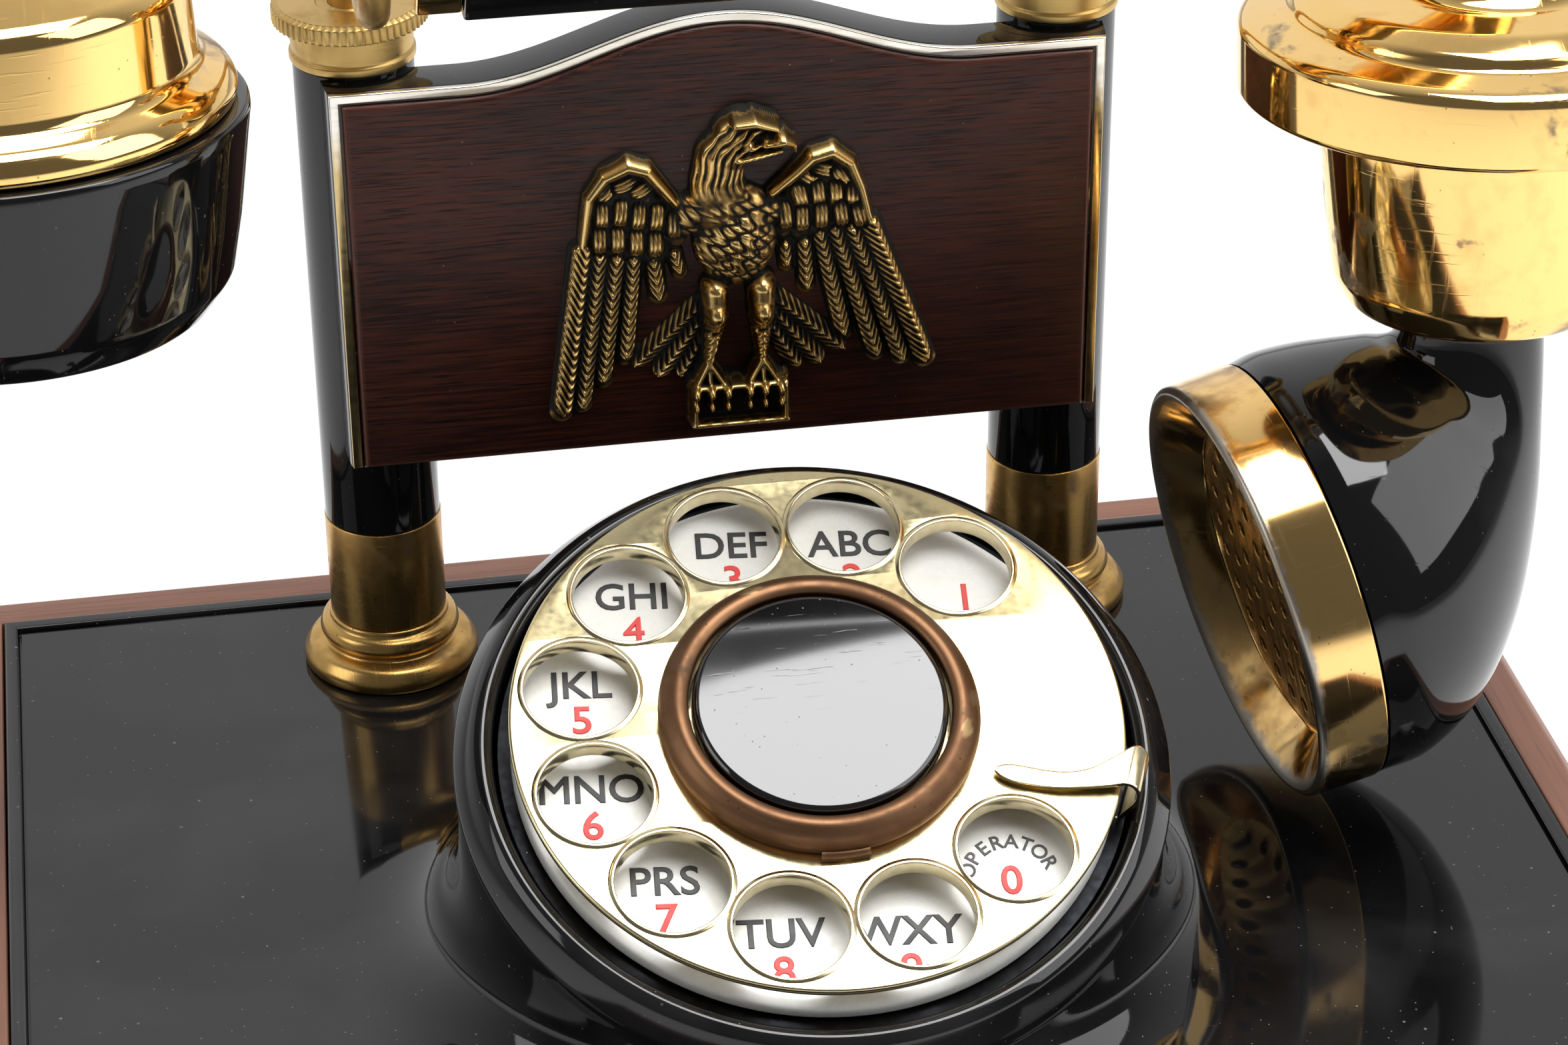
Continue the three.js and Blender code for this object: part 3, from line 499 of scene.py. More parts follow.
# Near-black steel for the dial frame plate: painted shade for the dark gap between the finger wheel and the bezel.
GAP_SHADE_STEEL = brushed("steel_painted_gap_shade", "steel", (0.02, 0.021, 0.024), (0.012, 0.012, 0.013), 0.35, (1, 1, 1), 0.1)
RUBBER = plain("rubber", "rubber", (0.014, 0.014, 0.014), (0.024, 0.024, 0.023), 0.62)
PHENOLIC = plain("phenolic", "phenolic", (0.06, 0.03, 0.018), (0.1, 0.05, 0.028), 0.45)


def antique(name):
    """Bright brass where the casting is rubbed, green-black in its hollows."""
    look = Look(name, "eagle_brass")
    worn = look.node("Attribute", {}, attribute_name="worn").outputs["Fac"]
    broken = look.plus(worn, look.ramp(look.noise(700, 5), 0.3, 0.7, -0.16, 0.16))
    shine = look.ramp(broken, 0.36, 0.62)
    tone = look.mix(look.ramp(broken, 0.5, 0.85), (0.3, 0.17, 0.055), (0.72, 0.5, 0.19))
    tone = look.mix(shine, (0.009, 0.009, 0.006), tone)
    look.set(look.shader, {"Base Color": tone, "Metallic": look.ramp(shine, 0, 1, 0.25, 1)})
    look.set(look.shader, {"Roughness": look.ramp(broken, 0.35, 0.9, 0.62, 0.24)})
    look.set(look.shader, {"Normal": look.bump(look.noise(1100, 4), 0.35, 0.03)})
    return look.material


ANTIQUE = antique("antique_brass")
SLOT_LOOK = {
    "wood": WOOD, "dark_wood": DARK_WOOD, "black_gloss": BLACK, "gold_plate": GOLD, "aged_brass": BRASS,
    "pale_brass": PALE, "copper_brown": COPPER, "white_enamel": ENAMEL, "silver_trim": SILVER, "steel": STEEL,
    "rubber": RUBBER, "phenolic": PHENOLIC, "eagle_brass": ANTIQUE,
}
for part in frame["record"]["subparts"]:
    node = frame["nodes"][part["node"]]
    node.data.materials.clear()
    node.data.materials.append(SLOT_LOOK[part["material_slot"]])


# ---- plinth: four mitred boards, the rear one with the two cord holes ----
def plinth_board(half, wall_at, turn, name):
    """A board along X whose outer face looks to -Y; its ends are mitred."""
    section = rounded(
        [(0, BASE_LOW.z), (WOOD_WALL, BASE_LOW.z), (WOOD_WALL, BASE_HIGH.z - WOOD_BEVEL),
         (WOOD_WALL - WOOD_BEVEL, BASE_HIGH.z), (0, BASE_HIGH.z)], 0.5)
    rings = [[(s * (half + o - WOOD_WALL), -(wall_at + o - WOOD_WALL), z) for o, z in section] for s in (-1, 1)]
    return piece(name, skin(rings), WOOD, "phone", Matrix.Rotation(math.radians(turn), 4, "Z"),
        "wood_plinth_frame")


plinth_board(BASE_HIGH.x, BASE_HIGH.y, 0, "wood_board_front")
rear_board = plinth_board(BASE_HIGH.x, BASE_HIGH.y, 180, "wood_board_rear")
plinth_board(BASE_HIGH.y, BASE_HIGH.x, 90, "wood_board_right")
plinth_board(BASE_HIGH.y, BASE_HIGH.x, -90, "wood_board_left")

CORD_HOLE_R = 4


def drill(board, bushes):
    """Bores a round hole along Y through the board, behind each bush."""
    for bush in bushes:
        at = middle(bush)
        points, faces = turned([(0, -20), (CORD_HOLE_R, -20), (CORD_HOLE_R, 20), (0, 20)], 0, 48)
        mesh = bpy.data.meshes.new("drill")
        mesh.from_pydata([((at.x + x) * MM, (at.y + z) * MM, (at.z + y) * MM) for x, y, z in points], [], faces)
        bit = bpy.data.objects.new("drill", mesh)
        bpy.context.scene.collection.objects.link(bit)
        bore = board.modifiers.new("bore", "BOOLEAN")
        bore.object, bore.operation, bore.solver = bit, "DIFFERENCE", "EXACT"
        drilled = bpy.data.meshes.new_from_object(board.evaluated_get(bpy.context.evaluated_depsgraph_get()))
        board.modifiers.remove(bore)
        board.data = drilled
        sharpen(drilled, 38)
        bpy.data.objects.remove(bit)


drill(rear_board, ("line_cord_inlet_bush", "handset_cord_inlet_bush"))

# ---- black top: flat sheet, raised lip and dial mound ----
DIAL_UP = Vector((0, math.cos(DIAL_TILT), math.sin(DIAL_TILT)))
DIAL_OUT = Vector((0, -math.sin(DIAL_TILT), math.cos(DIAL_TILT)))
DIAL_PLACE = Matrix.Translation(DIAL) @ Matrix.Rotation(DIAL_TILT, 4, "X")
MOUND_SIDES = 192
SKIRT_R = 44.5
SKIRT_LOW = -12
MOUND_SPREAD = 17
MOUND_SHIFT = 2


def mound():
    """Bezel, groove and skirt in the dial's own tilt, then a flare that turns level in the flat top."""
    profile = rounded(
        [(BEZEL_IN, -9), (BEZEL_IN, -5.5), (BEZEL_IN + 1.3, -4.7), (BEZEL_IN + 2.6, -5.4),
        (BEZEL_OUT - 1.2, -7),
         (BEZEL_OUT, -8.8), (BEZEL_OUT, -9.7), (SKIRT_R - 0.3, -10.4), (SKIRT_R, SKIRT_LOW)], 0.8, 5,
         closed=False)
    angles = [2 * math.pi * i / MOUND_SIDES for i in range(MOUND_SIDES)]

    def tilted(r, h):
        return [DIAL + Vector((r * math.cos(a), 0,
            0)) + DIAL_UP * r * math.sin(a) + DIAL_OUT * h for a in angles]

    rings = [tilted(r, h) for r, h in profile]
    start = rings[-1]
    steps = 28
    for k in range(1, steps + 1):
        t = k / steps
        grow = MOUND_SPREAD * (1 - math.cos(t * math.pi / 2)) ** 1.15
        drop = math.sin(t * math.pi / 2)
        r = SKIRT_R + grow
        rings.append([
            Vector((p.x * (1 - t) + (DIAL.x + r * math.cos(a)) * t,
                    p.y * (1 - t) + (DIAL.y + MOUND_SHIFT + r * math.sin(a)) * t,
                    p.z * (1 - drop) + PANEL_Z * drop))
            for p, a in zip(start, angles)])
    return rings


def top_sheet(rings):
    """The flat sheet between the mound's last ring and the lip."""
    inner_x, inner_y = PANEL_HIGH.x - LIP_W, PANEL_HIGH.y - LIP_W
    edge = []
    for p in rings[-1]:
        d = Vector((p.x - DIAL.x, p.y - DIAL.y - MOUND_SHIFT))
        reach = min(
            (math.copysign(inner_x, d.x) - p.x) / d.x if abs(d.x) > 1e-6 else 1e9,
            (math.copysign(inner_y, d.y) - p.y) / d.y if abs(d.y) > 1e-6 else 1e9)
        edge.append(Vector((p.x + d.x * reach, p.y + d.y * reach, PANEL_Z)))
    for sx in (-1, 1):
        for sy in (-1, 1):
            nearest = min(range(len(edge)),
                key=lambda i: (edge[i].x - sx * inner_x) ** 2 + (edge[i].y - sy * inner_y) ** 2)
            edge[nearest] = Vector((sx * inner_x, sy * inner_y, PANEL_Z))
    return skin([rings[-1], edge], closed_ends=False)


def lip():
    """The raised strip round the top, mitred at its corners, with a groove inside it."""
    section = rounded(
        [(0, PANEL_Z - 3), (0, PANEL_Z + LIP_H), (LIP_W - 0.5, PANEL_Z + LIP_H), (LIP_W - 0.35, PANEL_Z - 0.5),
         (LIP_W, PANEL_Z - 0.5), (LIP_W, PANEL_Z)], 0.35, 4, closed=False)
    rings = []
    for o, z in section:
        x, y = PANEL_HIGH.x - o, PANEL_HIGH.y - o
        rings.append([(-x, -y, z), (x, -y, z), (x, y, z), (-x, y, z)])
    return skin(rings, closed_ends=False)


mound_rings = mound()
piece("black_top", [skin(mound_rings, False), top_sheet(mound_rings), lip()], BLACK, "phone",
    nodes="black_top_panel", angle=50)

# ---- dial ----
holes = [clockwise(FIRST_HOLE - k * HOLE_STEP, HOLE_PITCH_R) for k in range(10)]
plate("finger_wheel_brass", [circle(WHEEL_R, 192), circle(3),
    *[circle(HOLE_R + 0.3, 72, x, y) for x, y in holes]],
      WHEEL_T, 0.35, PALE, "dial_wheel", DIAL_PLACE, "finger_wheel")
RIM_W = 0.75
RIM_DEPTH = 2.4
for k, (x, y) in enumerate(holes):
    rim = turned([(HOLE_R - 0.05, -RIM_DEPTH), (HOLE_R - 0.05, 0.3), (HOLE_R + RIM_W, 0.02),
        (HOLE_R + RIM_W, -0.3),
                  (HOLE_R + 0.35, -RIM_DEPTH)], 0.6, 72)
    piece(f"hole_rim_{(k + 1) % 10}", rim, RIM_BRASS, "dial_wheel", DIAL_PLACE @ Matrix.Translation((x, y, 0)))
LUG_HALF = 8.5


def lug():
    """The small clip that shows at the ring's foot, at the bottom of the dial."""
    section = rounded([(18.6, 0.1), (20.6, 0.1), (20.6, 1.0), (20.1, 1.5), (18.6, 1.5)], 0.25, 3)
    angles = [math.radians(-90 - LUG_HALF + 2 * LUG_HALF * k / 12) for k in range(13)]
    return skin([[(r * math.cos(a), r * math.sin(a), z) for r, z in section] for a in angles])


piece("centre_ring", [turned([(16.2, 0.1), (16.2, 4.2), (17.7, 4.7), (19.4, 3.4), (20, 1.8), (19.4, 0.1)], 1.3,
    128), lug()],
      COPPER, "dial_wheel", DIAL_PLACE, "dial_centre_ring")
piece("centre_disc", turned([(0, 0.2), (15.75, 0.2), (15.75, 3.9), (15.2, 4.35), (0, 4.5)], 0.35, 128),
      BLACK_DISC, "dial_wheel", DIAL_PLACE, "dial_centre_disc")
# The frame plate is painted near-black as painted shade for the gap round the finger wheel.
piece("frame_disc", turned([(3.2, FRAME_LOW), (FRAME_R, FRAME_LOW), (FRAME_R, FRAME_LOW + 0.8),
    (3.2, FRAME_LOW + 0.8)], 0.2, 128),
      GAP_SHADE_STEEL, "phone", DIAL_PLACE, "dial_frame_plate")
piece("number_plate_enamel", turned(
    [(3.2, -PLATE_DEPTH - 1), (PLATE_R - 2.4, -PLATE_DEPTH - 1), (PLATE_R - 1.2, -PLATE_DEPTH - 2),
    (PLATE_R - 0.3, -PLATE_DEPTH - 2),
     (PLATE_R - 0.6, -PLATE_DEPTH - 0.5), (PLATE_R - 1.7, -PLATE_DEPTH), (3.2, -PLATE_DEPTH)], 0.5, 128),
      ENAMEL, "phone", DIAL_PLACE, "number_plate")


def writing(name, text, x, y, size, material, turn=-PLATE_TURN):
    """A word of raised ink on the number plate, centred on a point."""
    font = bpy.data.curves.new(name, "FONT")
    font.body = text
    font.size = size * MM
    font.extrude = 0.03 * MM
    font.bevel_depth = 0.014 * size * MM
    font.align_x = "CENTER"
    font.align_y = "CENTER"
    font.resolution_u = 4
    holder = bpy.data.objects.new(name + "_font", font)
    bpy.context.scene.collection.objects.link(holder)
    mesh = bpy.data.meshes.new_from_object(holder.evaluated_get(bpy.context.evaluated_depsgraph_get()))
    bpy.data.objects.remove(holder)
    mesh.name = name
    place = DIAL_PLACE @ Matrix.Translation((x, y, 0.03 - PLATE_DEPTH)) @ Matrix.Rotation(turn, 4, "Z")
    return settle(bpy.data.objects.new(name, mesh), material, "phone", place, ())


LETTER_SIZE = 5.6
SMALL_SIZE = 2.7
LETTERS = ["", "ABC", "DEF", "GHI", "JKL", "MNO", "PRS", "TUV", "WXY", ""]
DIGIT_DROP = Vector((-math.sin(PLATE_TURN), -math.cos(PLATE_TURN))) * 5.2
for k, (word, (x, y)) in enumerate(zip(LETTERS, holes)):
    digit = str((k + 1) % 10)
    # The printed plate sits turned a little against the wheel, so its words lie off the holes' centres.
    spot = Vector((x + 0.3 + 0.035 * y, y + 1.1 - 0.084 * x))
    if word:
        writing(f"letters_{digit}", word, *spot, LETTER_SIZE, INK_BLACK)
        spot += DIGIT_DROP
    else:
        spot = Vector((x + (1.3 if k == 0 else -0.25), y - 1.7))
    writing(f"digit_{digit}", digit, *spot, LETTER_SIZE, INK_RED)
for k, letter in enumerate("OPERATOR"):
    a = math.radians(90 + 20 * (3.5 - k))
    writing(f"operator_{k}", letter, spot.x + 5.3 * math.cos(a), spot.y + 0.3 + 5.3 * math.sin(a), SMALL_SIZE,
        INK_BLACK, a - math.pi / 2)


def finger_stop():
    """A blade over the wheel that widens and bends down outside its rim: reach, height, sideways, half width."""
    path = [(22.5, 0.7, -1.9, 1.15), (26, 0.9, -1.95, 1.25), (30, 1.1, -1.7, 1.2), (33.4, 1.25, -0.7, 1.35),
            (36.4, 1.35, 1.1, 2.2), (38.7, 1.3, 2.7, 2.9), (40.1, 0.3, 2.6, 2.85), (40.3, -2, 2.5, 2.8),
            (39.2, -5, 2.5, 2.7),
            (38.8, -6.4, 2.5, 2.7)]
    path = spline(path, 80)
    rings = []
    for k, p in enumerate(path):
        ahead = path[min(k + 1, 79)] - path[max(k - 1, 0)]
        up = Vector((-ahead[1], 0, ahead[0])).normalized() * 0.32
        half = p[3] * math.sqrt(max(0.03, 1 - (1 - min(1, k / 7)) ** 2))
        ring = rounded([(-half, -1), (half, -1), (half, 1), (-half, 1)], 0.3, 3)
        rings.append([Vector((p[0], p[2] + w, p[1])) + up * h for w, h in ring])
    return skin(rings)


piece("finger_stop_blade", finger_stop(), RIM_BRASS, "phone",
      DIAL_PLACE @ Matrix.Rotation(math.radians(90 - STOP_ANGLE), 4, "Z"), "finger_stop")

# ---- pillars ----
KNURLS = 64


def knurl(a, r, z):
    return -0.22 * abs(math.sin(KNURLS * a / 2)) ** 0.7 if r > CAP_R - 0.9 else 0


for side, sign in (("left", -1), ("right", 1)):
    at = Matrix.Translation((sign * POST.x, POST.y, 0))
    z = PANEL_Z
    ferrule_top = z + 23.8
    piece(f"flange_{side}", turned(
        [(7.3, z + 0.05), (12.2, z + 0.05), (12.35, z + 1.6), (11.2, z + 3.3), (9.3, z + 3.7), (9.1, z + 4.1),
        (9.9, z + 5.3),
         (9.3, z + 6.7), (8.4, z + 7.1), (8.3, z + 8), (7.3, z + 8)], 0.55, 96), BRASS, "phone", at,
         f"foot_flange_{side}")
    piece(f"brass_sleeve_{side}", turned(
        [(7.3, z + 8.1), (POST_R + 0.1, z + 8.1), (POST_R + 0.1, ferrule_top - 0.1), (7.3, ferrule_top - 0.1)],
        0.2, 96),
        BRASS, "phone", at, f"ferrule_{side}")
    piece(f"column_{side}", turned(
        [(2.9, z + 0.3), (7.1, z + 0.3), (7.1, ferrule_top), (POST_R, ferrule_top), (POST_R, POST_TOP),
        (2.9, POST_TOP)], 0.2, 96),
        BLACK_CLEAN, "phone", at, f"pillar_{side}")
    piece(f"stepped_collar_{side}", turned(
        [(2.9, POST_TOP + 0.1), (POST_R + 0.35, POST_TOP + 0.1), (POST_R + 0.35, POST_TOP + 1.2),
        (POST_R, POST_TOP + 1.5),
         (POST_R + 0.3, POST_TOP + 4.9), (2.9, POST_TOP + 4.9)], 0.25, 96), RAW_BRASS, "phone", at,
         f"collar_{side}")
    low, high = CAP_LOW.z - 0.2, CAP_HIGH.z
    piece(f"thumb_cap_{side}", turned(
        [(2.9, low), (CAP_R - 0.9, low), (CAP_R, low + 0.35), (CAP_R, high - 0.35), (CAP_R - 0.95, high),
        (4.6, high),
         (4.3, high - 0.5), (3.4, high - 0.5), (2.9, high - 0.2)], 0.22, KNURLS * 8, knurl), RAW_BRASS,
         "phone", at, f"knurled_cap_{side}")


# ---- upright panel, trim and plaque ----
def wave(x):
    return HUMP / 2 * (1 + math.cos(math.pi * x / HUMP_X)) if abs(x) < HUMP_X else 0


def wavy(inset, low_inset=None, steps=90):
    half = FRONT_HALF - inset
    low = SHEET_LOW.z + (inset if low_inset is None else low_inset)
    return [(-half, low), (half, low)] + [
        (half - 2 * half * k / steps,
        SHOULDER_Z - inset + wave(half - 2 * half * k / steps)) for k in range(steps + 1)]


def upright(y):
    """Carries a plate drawn in x and z, and its thickness, to a front face at y."""
    return Matrix.Translation((0, y, 0)) @ Matrix.Rotation(math.pi / 2, 4, "X")


TRIM_W = 1.3
FRONT = SHEET_LOW.y
FRONT_HALF = node_box("trim_strip")[1].x + 0.8
FLARE = SHEET_HIGH.x - FRONT_HALF
board = plate("upright_board", [wavy(0.1)], SHEET_T - 0.4, 0.5, BLACK_CLEAN, "phone", upright(FRONT + 0.4),
    "upright_panel")
for vertex in board.data.vertices:
    vertex.co.x *= 1 - vertex.co.z / (SHEET_T * MM) * FLARE / FRONT_HALF
trim_outline = wavy(0.2, 0.2)
inner = wavy(0.2 + TRIM_W, -1)
half = trim_outline[1][0]
low = trim_outline[0][1]
inner_half = half - TRIM_W
trim = [(-half, low), *reversed(trim_outline[2:]), (half, low), (inner_half, low),
        *[(max(-inner_half, min(inner_half, x)), z) for x, z in inner[2:]], (-inner_half, low)]
plate("metal_trim", [trim], 1.2, 0.2, SILVER, "phone", upright(FRONT - 0.05), "trim_strip")
plate("mahogany_plaque", [wavy(0.45 + TRIM_W, 0.1)], 2.0, 0.85, DARK_WOOD, "phone", upright(FRONT - 0.4),
    "wood_plaque")

# ---- eagle: a cast relief, built as a height over the plaque from overlapping rounded forms ----
RELIEF_STEP = 0.14
RELIEF_EDGE = -0.5


class Relief:
    """Heights on a grid of x and z; outside every form the height is below the plaque."""

    def __init__(self, low, high):
        self.x, self.z = np.meshgrid(np.arange(low[0], high[0], RELIEF_STEP),
            np.arange(low[1], high[1], RELIEF_STEP))
        self.h = np.full(self.x.shape, RELIEF_EDGE)

    def raise_to(self, inside, height):
        """Inside is 1 in the middle of a form, 0 on its outline and below 0 outside it."""
        outside = np.maximum(inside * 3, RELIEF_EDGE)
        self.h = np.maximum(self.h, np.where(inside > 0, height, outside))

    def local(self, start, end):
        """Distance along the line from start to end and across it, and the line's length."""
        ahead = np.subtract(end, start)
        length = float(np.hypot(*ahead))
        u, v = ahead / length
        dx, dz = self.x - start[0], self.z - start[1]
        return dx * u + dz * v, dx * v - dz * u, length

    def oval(self, centre, radii, dome, turn=0.0, pattern=0.0):
        dx, dz = self.x - centre[0], self.z - centre[1]
        c, s = math.cos(turn), math.sin(turn)
        a, b = (dx * c + dz * s) / radii[0], (dz * c - dx * s) / radii[1]
        d = np.sqrt(a * a + b * b)
        bulge = np.sqrt(np.clip(1 - d * d, 0, 1))
        self.raise_to((1 - d) * min(radii), bulge * dome * (1 + pattern))

    def rope(self, points, radii, heights, pattern=0.0):
        """A rounded bar through the points, with its own radius and height at each."""
        for k in range(len(points) - 1):
            along, across, length = self.local(points[k], points[k + 1])
            t = np.clip(along / length, 0, 1)
            d = np.hypot(along - t * length, across)
            r = radii[k] + (radii[k + 1] - radii[k]) * t
            top = heights[k] + (heights[k + 1] - heights[k]) * t
            bulge = np.sqrt(np.clip(1 - (d / r) ** 2, 0, 1))
            self.raise_to(r - d, bulge * (top + pattern))

    def feather(self, start, end, half, base, one_sided=0.0):
        """A long feather with a raised rib and barbs that slope back from it."""
        along, across, length = self.local(start, end)
        tip = np.clip((along - length + 1.6 * half) / (1.6 * half), 0, 1)
        root = np.clip(1 - (along + half) / half, 0, 1)
        width = half * np.sqrt(np.clip(1 - tip**2, 0, 1)) * np.sqrt(np.clip(1 - root**2, 0, 1)) + 1e-4
        beyond = np.maximum(np.maximum(along - length, -along - half), 0)
        inside = width - np.abs(across) - beyond
        bulge = np.sqrt(np.clip(1 - (across / width) ** 2, 0, 1))
        phase = (along + np.abs(across + one_sided * half) * 1.5) / 1.25
        barb = np.abs(np.cos(math.pi * phase)) ** 0.8
        rib = np.exp(-((across + one_sided * half) / 0.32) ** 2)
        self.raise_to(inside,
            np.minimum(1, bulge * 2.2) * base + bulge * (0.35 + 0.85 * barb) + 0.4 * rib * bulge)

    def tongue(self, centre, radii, base, turn=0.0):
        """A short covert feather: higher towards its rounded lower end, with fine lines."""
        dx, dz = self.x - centre[0], self.z - centre[1]
        c, s = math.cos(turn), math.sin(turn)
        a, b = (dx * c + dz * s) / radii[0], (dz * c - dx * s) / radii[1]
        d = (np.abs(a) ** 2.6 + np.abs(b) ** 2.6) ** (1 / 2.6)
        bulge = np.sqrt(np.clip(1 - d * d, 0, 1))
        lines = 0.2 * np.cos(a * radii[0] * 2 * math.pi / 0.62)
        self.h = np.where(d < 1, base - 0.75 + bulge * (1.6 - 0.35 * b + lines), self.h)

    def carve(self, points, width, depth):
        for k in range(len(points) - 1):
            along, across, length = self.local(points[k], points[k + 1])
            d = np.hypot(along - np.clip(along / length, 0, 1) * length, across)
            self.h = self.h - depth * np.exp(-((d / width) ** 2)) * (self.h > 0.3)


def blurred(field, radius):
    """The field averaged over a Gaussian of that radius in millimetres."""
    reach = int(3 * radius / RELIEF_STEP)
    kernel = np.exp(-0.5 * (np.arange(-reach, reach + 1) * RELIEF_STEP / radius) ** 2)
    kernel /= kernel.sum()
    for axis in (0, 1):
        field = np.apply_along_axis(lambda row: np.convolve(np.pad(row, reach, "edge"), kernel, "valid"), axis,
            field)
    return field


def wing(relief, rim, primaries, coverts):
    for start, end, half in primaries:
        relief.rope([start, end], [half + 0.5, half + 0.3], [1.0, 0.8])
    for (x, z), _ in coverts:
        relief.rope([(x, z + 1), (x, z - 2)], [2.0, 2.0], [1.5, 1.4])
    for k, (start, end, half) in reversed(list(enumerate(primaries))):
        relief.feather(start, end, half, 1.25 - 0.14 * k, 0.0 if k else 0.45)
    for (x, z), turn in coverts:
        relief.tongue((x, z), (1.3, 2.15), 1.65, turn)
    relief.rope(rim, [0.9, 1.15, 1.3, 1.35, 1.2, 1.0, 0.8], [2.6, 3.0, 3.2, 3.1, 2.9, 2.6, 2.4])


def eagle_relief():
    relief = Relief((-28, -1), (29, 50))
    for sign in (-1, 1):
        for k, (x, z) in enumerate(((14.6, 10.6), (11.4, 8.6), (8.2, 8.4))):
            relief.feather((sign * (4.2 - 0.6 * k), 20 - k), (sign * x, z), 1.7, -0.1)
    wing(relief,
         [(4.6, 35.4), (7.6, 38), (10, 40.3), (12.6, 40.9), (15, 39), (16.5, 35.2), (17.8, 30)],
         [((17.8, 29.4), (25.6, 8), 1.45), ((15.6, 28.6), (22.4, 8.6), 1.3), ((13.3, 28.4), (18.9, 9.6), 1.3),
          ((11.2, 28), (14.4, 13), 1.2), ((9.0, 27), (9.3, 20.6), 1.1), ((6.4, 27), (6.6, 23.8), 0.9)],
         [((9.2, 37.6), 0.9), ((11.6, 38.3), 1.3), ((13.9, 37), 0.5), ((8.4, 34.6), 0.2), ((10.8, 34.8), 0.1),
         ((13.2, 34.6), 0.05),
          ((15.4, 34.2), 0.0), ((6.3, 31.8), 0.1), ((8.6, 31.3), 0.0), ((11.2, 31.5), 0.0),
          ((13.9, 31.6), 0.1), ((16.3, 31.2), 0.2)])
    wing(relief,
         [(-8.4, 35), (-10.6, 38), (-12.2, 40.2), (-14.6, 41), (-17.6, 39.6), (-19.8, 36.6), (-20.8, 30)],
         [((-21, 28.6), (-24.4, 4.4), 1.4), ((-18.8, 27.4), (-21.6, 5.4), 1.25),
         ((-16.5, 26.8), (-18.7, 8.8), 1.25),
          ((-14.2, 26.4), (-15.5, 12), 1.15), ((-11.4, 25.8), (-10.8, 20.8), 1.1),
          ((-8.6, 27), (-7.8, 24), 0.9)],
         [((-17.4, 37.6), -0.7), ((-14.9, 38.4), -1.2), ((-12.6, 37.6), -1.0), ((-18.2, 34), 0.0),
         ((-15.7, 34.1), -0.1), ((-13.3, 33.4), -0.1),
          ((-10.9, 33), -0.1), ((-8.6, 31.8), 0.0), ((-18.6, 30.4), 0.0), ((-16.2, 30.2), 0.0),
          ((-13.7, 29.6), 0.0), ((-11.2, 29.2), 0.0)])
    x, z = relief.x, relief.z
    # Breast and neck, with a lattice of diamond feathers that grow longer towards the neck.
    pitch = 2.75 + 0.03 * (z - 30) + 0.12 * np.sin(0.9 * x + 1.7 * z)
    a, b = (x + 0.4) / pitch + z / (pitch * 1.25), -(x + 0.4) / pitch + z / (pitch * 1.25)
    cell = np.maximum(np.abs(a - np.round(a)), np.abs(b - np.round(b))) * 2
    diamonds = 0.95 * np.clip(1 - cell**3, 0, 1) ** 0.7 - 0.5
    relief.oval((-0.4, 29.3), (5.8, 7.6), 4.3, 0, diamonds / 4.3)
    relief.rope([(-6.6, 32.6), (-2.4, 34.2), (3.6, 32.6)], [3.0, 4.2, 2.8], [2.6, 4.0, 2.6], diamonds * 0.8)
    relief.rope([(-2.4, 33.6), (-2.7, 37.6), (-2.3, 41.2), (0.2, 43.8)], [4.6, 3.7, 3.4, 3.6],
        [4.0, 4.0, 4.2, 4.6], 0.0)
    relief.oval((0.6, 44.2), (4.2, 3.7), 4.9)
    # Streaks that run back over the head and down the neck.
    ring = np.hypot(x - 5.6, z - 38.4) + 0.18 * np.sin(1.3 * z) + 0.1 * np.sin(3.1 * x)
    streak = np.abs(np.cos(math.pi * ring / 0.98)) ** 0.7 - 0.55
    over = np.clip((z - 35.5) / 3, 0, 1) * np.clip((4.6 - x) / 1.6, 0,
        1) * (relief.h > 1.2) * (np.abs(x + 1) < 6.4)
    relief.h = relief.h + 0.75 * streak * over
    relief.rope([(-0.6, 46.6), (2, 46.9), (4.9, 45.9)], [0.9, 1.05, 0.8], [5.0, 5.4, 5.3])
    relief.rope([(3.6, 43.8), (5.8, 43.9), (7.1, 43.2), (7.5, 42)], [1.6, 1.25, 0.85, 0.35],
        [5.2, 5.1, 4.6, 3.9])
    relief.rope([(-0.4, 41.6), (2, 42), (5.6, 42.6)], [0.5, 0.6, 0.4], [5.1, 5.1, 4.8])
    relief.carve([(2.3, 44.3), (4.2, 44.5)], 0.75, 1.5)
    relief.carve([(0.8, 42.6), (4, 43), (6.8, 42.8)], 0.25, 0.7)
    relief.carve([(-0.2, 43), (1.2, 45.6)], 0.3, 0.7)
    relief.oval((3.35, 44.35), (0.62, 0.55), 4.9)
